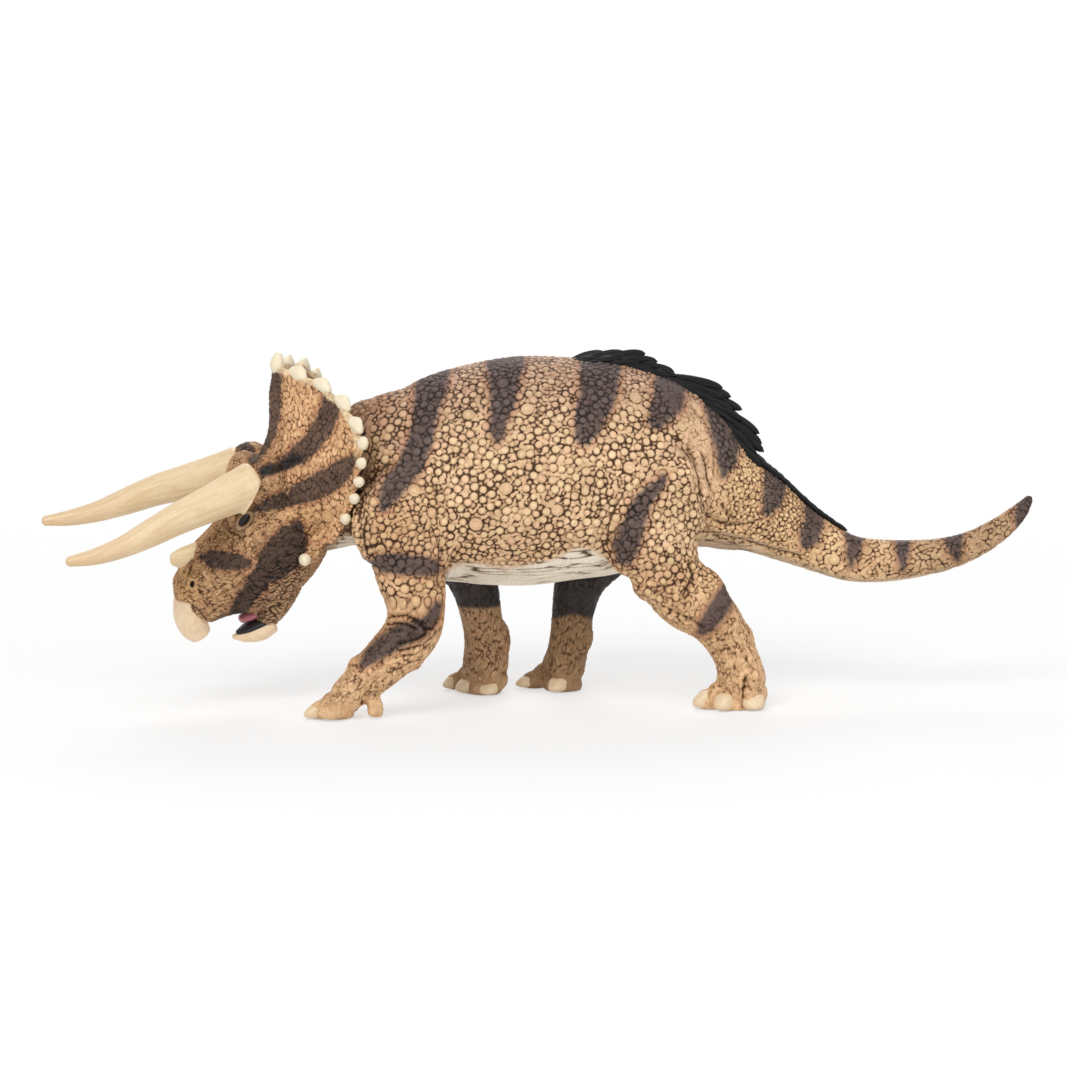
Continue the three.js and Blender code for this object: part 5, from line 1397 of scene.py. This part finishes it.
def on_ridge(x):
    """The ridge's point at x, the way along it and the way off it."""
    i = np.clip(np.searchsorted(ridge_top[:, 0], x), 1, len(ridge_top) - 1)
    w = (x - ridge_top[i - 1, 0]) / (ridge_top[i, 0] - ridge_top[i - 1, 0])
    p = ridge_top[i - 1] * (1 - w) + ridge_top[i] * w
    along = ridge_along[i]
    return p, along, np.cross(along, [0, 1.0, 0])


def blade(root, tip, off, bow, tall, thick, phase, steps=24, sides=36):
    """A clump of bristles: a flattened, ribbed lock with a blunt end."""
    angle = np.linspace(0, 2 * np.pi, sides, endpoint=False)
    along = unit(tip - root)
    side = unit(np.cross(off, along))
    up = np.cross(along, side)
    rings = []
    for share_s in np.linspace(0, 1, steps):
        swell = 0.45 + 0.55 * math.sin(math.pi / 2 * min(share_s / 0.6, 1))
        close = math.sqrt(max(1 - max(0.0, (share_s - 0.72) / 0.28) ** 2, 0.01))
        rib = 1 + 0.085 * np.sin(sides // 4 * angle + phase + 3 * share_s)
        r = swell * close * rib
        middle = root + (tip - root) * share_s + up * bow * math.sin(math.pi * share_s)
        rings.append(middle + (np.cos(angle) * r * thick)[:, None] * side + (np.sin(angle) * r * tall)[:, None] * up)
    return grid_solid(rings, rings[0].mean(0), rings[-1].mean(0) + along * 0.1)


strands = []
# locks over the ridge: (x of the root, x and z of the tip)
LOCKS = [(8.5, 18.5, 87.6), (11.5, 23, 87.8), (14, 28.2, 87.6), (17.5, 31.2, 85.6), (21.5, 35.6, 82.8),
         (25.5, 41.5, 79.0), (29, 47.8, 78.6), (33, 50, 76.0), (36.5, 52.6, 73.2), (40, 57, 67.2), (42.5, 58, 64.4)]
# rows from the middle out: (y, share of the tip's height, half height, set back)
ROWS = [(0, 1.0, 1.4, 0), (-1.1, 0.7, 1.35, 0.9), (1.1, 0.7, 1.35, 0.9), (-2.1, 0.38, 1.3, -0.6),
        (2.1, 0.38, 1.3, -0.6),
        (-3.1, 0.08, 1.2, 0.6), (3.1, 0.08, 1.2, 0.6)]
for root_x, tip_x, tip_z in LOCKS:
    for lock_y, share_z, half_tall, back_by in ROWS:
        root, _, off = on_ridge(root_x + back_by + rng.uniform(-0.4, 0.4))
        end, _, _ = on_ridge(tip_x + back_by - 0.5 * abs(lock_y) + rng.uniform(-0.5, 0.3))
        fall = 0.16 * lock_y**2
        start = root + [0, lock_y, 0] - off * (1.6 + fall)
        high = share_z * (tip_z - on_ridge(tip_x)[0][2]) - 0.7 * fall + 0.1
        tip = end + [0, 0.75 * lock_y + rng.uniform(-0.2, 0.2), high]
        strands.append(blade(start, tip, off, 0.5, half_tall * rng.uniform(0.85, 1.0), 0.85, rng.uniform(0, 6)))
# small locks along the top of the tail, lower and thinner towards its end
for share_k in np.linspace(0, 1, 17):
    for lock_y, high in ((0, 0.75), (-1.0, 0.3), (1.0, 0.3)):
        x = 46 + 28 * share_k + rng.uniform(-0.5, 0.5)
        thin = 1 - 0.5 * share_k
        root, _, off = on_ridge(x)
        tip, _, _ = on_ridge(x + rng.uniform(4.5, 6))
        tip = tip + [0, lock_y * 1.2 + rng.uniform(-0.2, 0.2), high * thin]
        start = root + [0, lock_y, 0] - off * 0.5
        strands.append(blade(start, tip, off, 0.3, 0.95 * thin, 0.75 * thin, rng.uniform(0, 6), 14, 20))
strand_points, strand_faces = join(strands)
strand_points[:, 2] = np.minimum(strand_points[:, 2], cad_top)
add_piece("quill_crest_bristles", strand_points, strand_faces, crest_look, ["quill_crest"])

# ---------------------------------------------------------------- floor, light and camera

def shown_share(tree):
    """1 for camera, glossy and transmission rays."""
    rays = tree.nodes.new("ShaderNodeLightPath").outputs
    share = maths(tree, "MAXIMUM", rays["Is Camera Ray"], rays["Is Glossy Ray"])
    return maths(tree, "MAXIMUM", share, rays["Is Transmission Ray"])


def mix_shaders(tree, share, first, second, end):
    """Leads two shaders to the end node, the second one by a share."""
    mixer = tree.nodes.new("ShaderNodeMixShader")
    for k, value in enumerate((share, first.outputs[0], second.outputs[0])):
        tree.links.new(value, mixer.inputs[k])
    tree.links.new(mixer.outputs[0], end.inputs[0])


world = bpy.data.worlds.new("studio")
bpy.context.scene.world = world
world.use_nodes = True
tree = world.node_tree
tree.nodes.clear()
lit, shown = (node(tree, "ShaderNodeBackground", Color=(1, 1, 1, 1), Strength=power) for power in (0.5, 1.0))
mix_shaders(tree, shown_share(tree), lit, shown, tree.nodes.new("ShaderNodeOutputWorld"))

floor_look, tree, shader = new_material("floor")
shader.inputs["Base Color"].default_value = (0.94, 0.94, 0.94, 1)
shader.inputs["Roughness"].default_value = 1.0
shader.inputs["Specular IOR Level"].default_value = 0.0
# the floor turns to plain white away from the figure
away = tree.nodes.new("ShaderNodeVectorMath")
away.operation = "LENGTH"
tree.links.new(own_place(tree), away.inputs[0])
white = maths(tree, "MULTIPLY", shown_share(tree), ramp(tree, [(0.12, 0.55), (0.45, 1.0)], away.outputs["Value"]))
glow = node(tree, "ShaderNodeEmission", Color=(1, 1, 1, 1), Strength=1.0)
mix_shaders(tree, white, shader, glow, tree.nodes["Material Output"])
bpy.ops.mesh.primitive_plane_add(size=8, location=(0, 0, -0.0002))
floor = bpy.context.object
floor.name = "floor"
floor.data.materials.append(floor_look)


def lamp(name, place, aim, size, power):
    """A square area lamp that points at aim."""
    data = bpy.data.lights.new(name, "AREA")
    data.size, data.energy = size, power
    obj = bpy.data.objects.new(name, data)
    obj.location = place
    obj.rotation_euler = (Vector(aim) - Vector(place)).to_track_quat("-Z", "Y").to_euler()
    bpy.context.scene.collection.objects.link(obj)


lamp("key", (-0.35, -0.75, 0.85), (0, 0, 0.04), 0.5, 6.5)
lamp("fill", (0.7, -0.7, 0.35), (0, 0, 0.04), 0.6, 1.6)
lamp("back", (0.1, 0.7, 0.7), (0, 0, 0.05), 0.5, 3.0)

camera = bpy.data.objects.new("camera", bpy.data.cameras.new("camera"))
camera.data.lens, camera.data.sensor_width = 135, 36
target = Vector(to_frame(TARGET))
back = Vector(BACK)
camera.location = target + back * DISTANCE / 1000
camera.rotation_mode = "QUATERNION"
camera.rotation_quaternion = (-back).to_track_quat("-Z", "Y")
camera.data.clip_start, camera.data.clip_end = 0.05, 20
bpy.context.scene.collection.objects.link(camera)
bpy.context.scene.camera = camera
bpy.context.scene.view_settings.view_transform = "Standard"
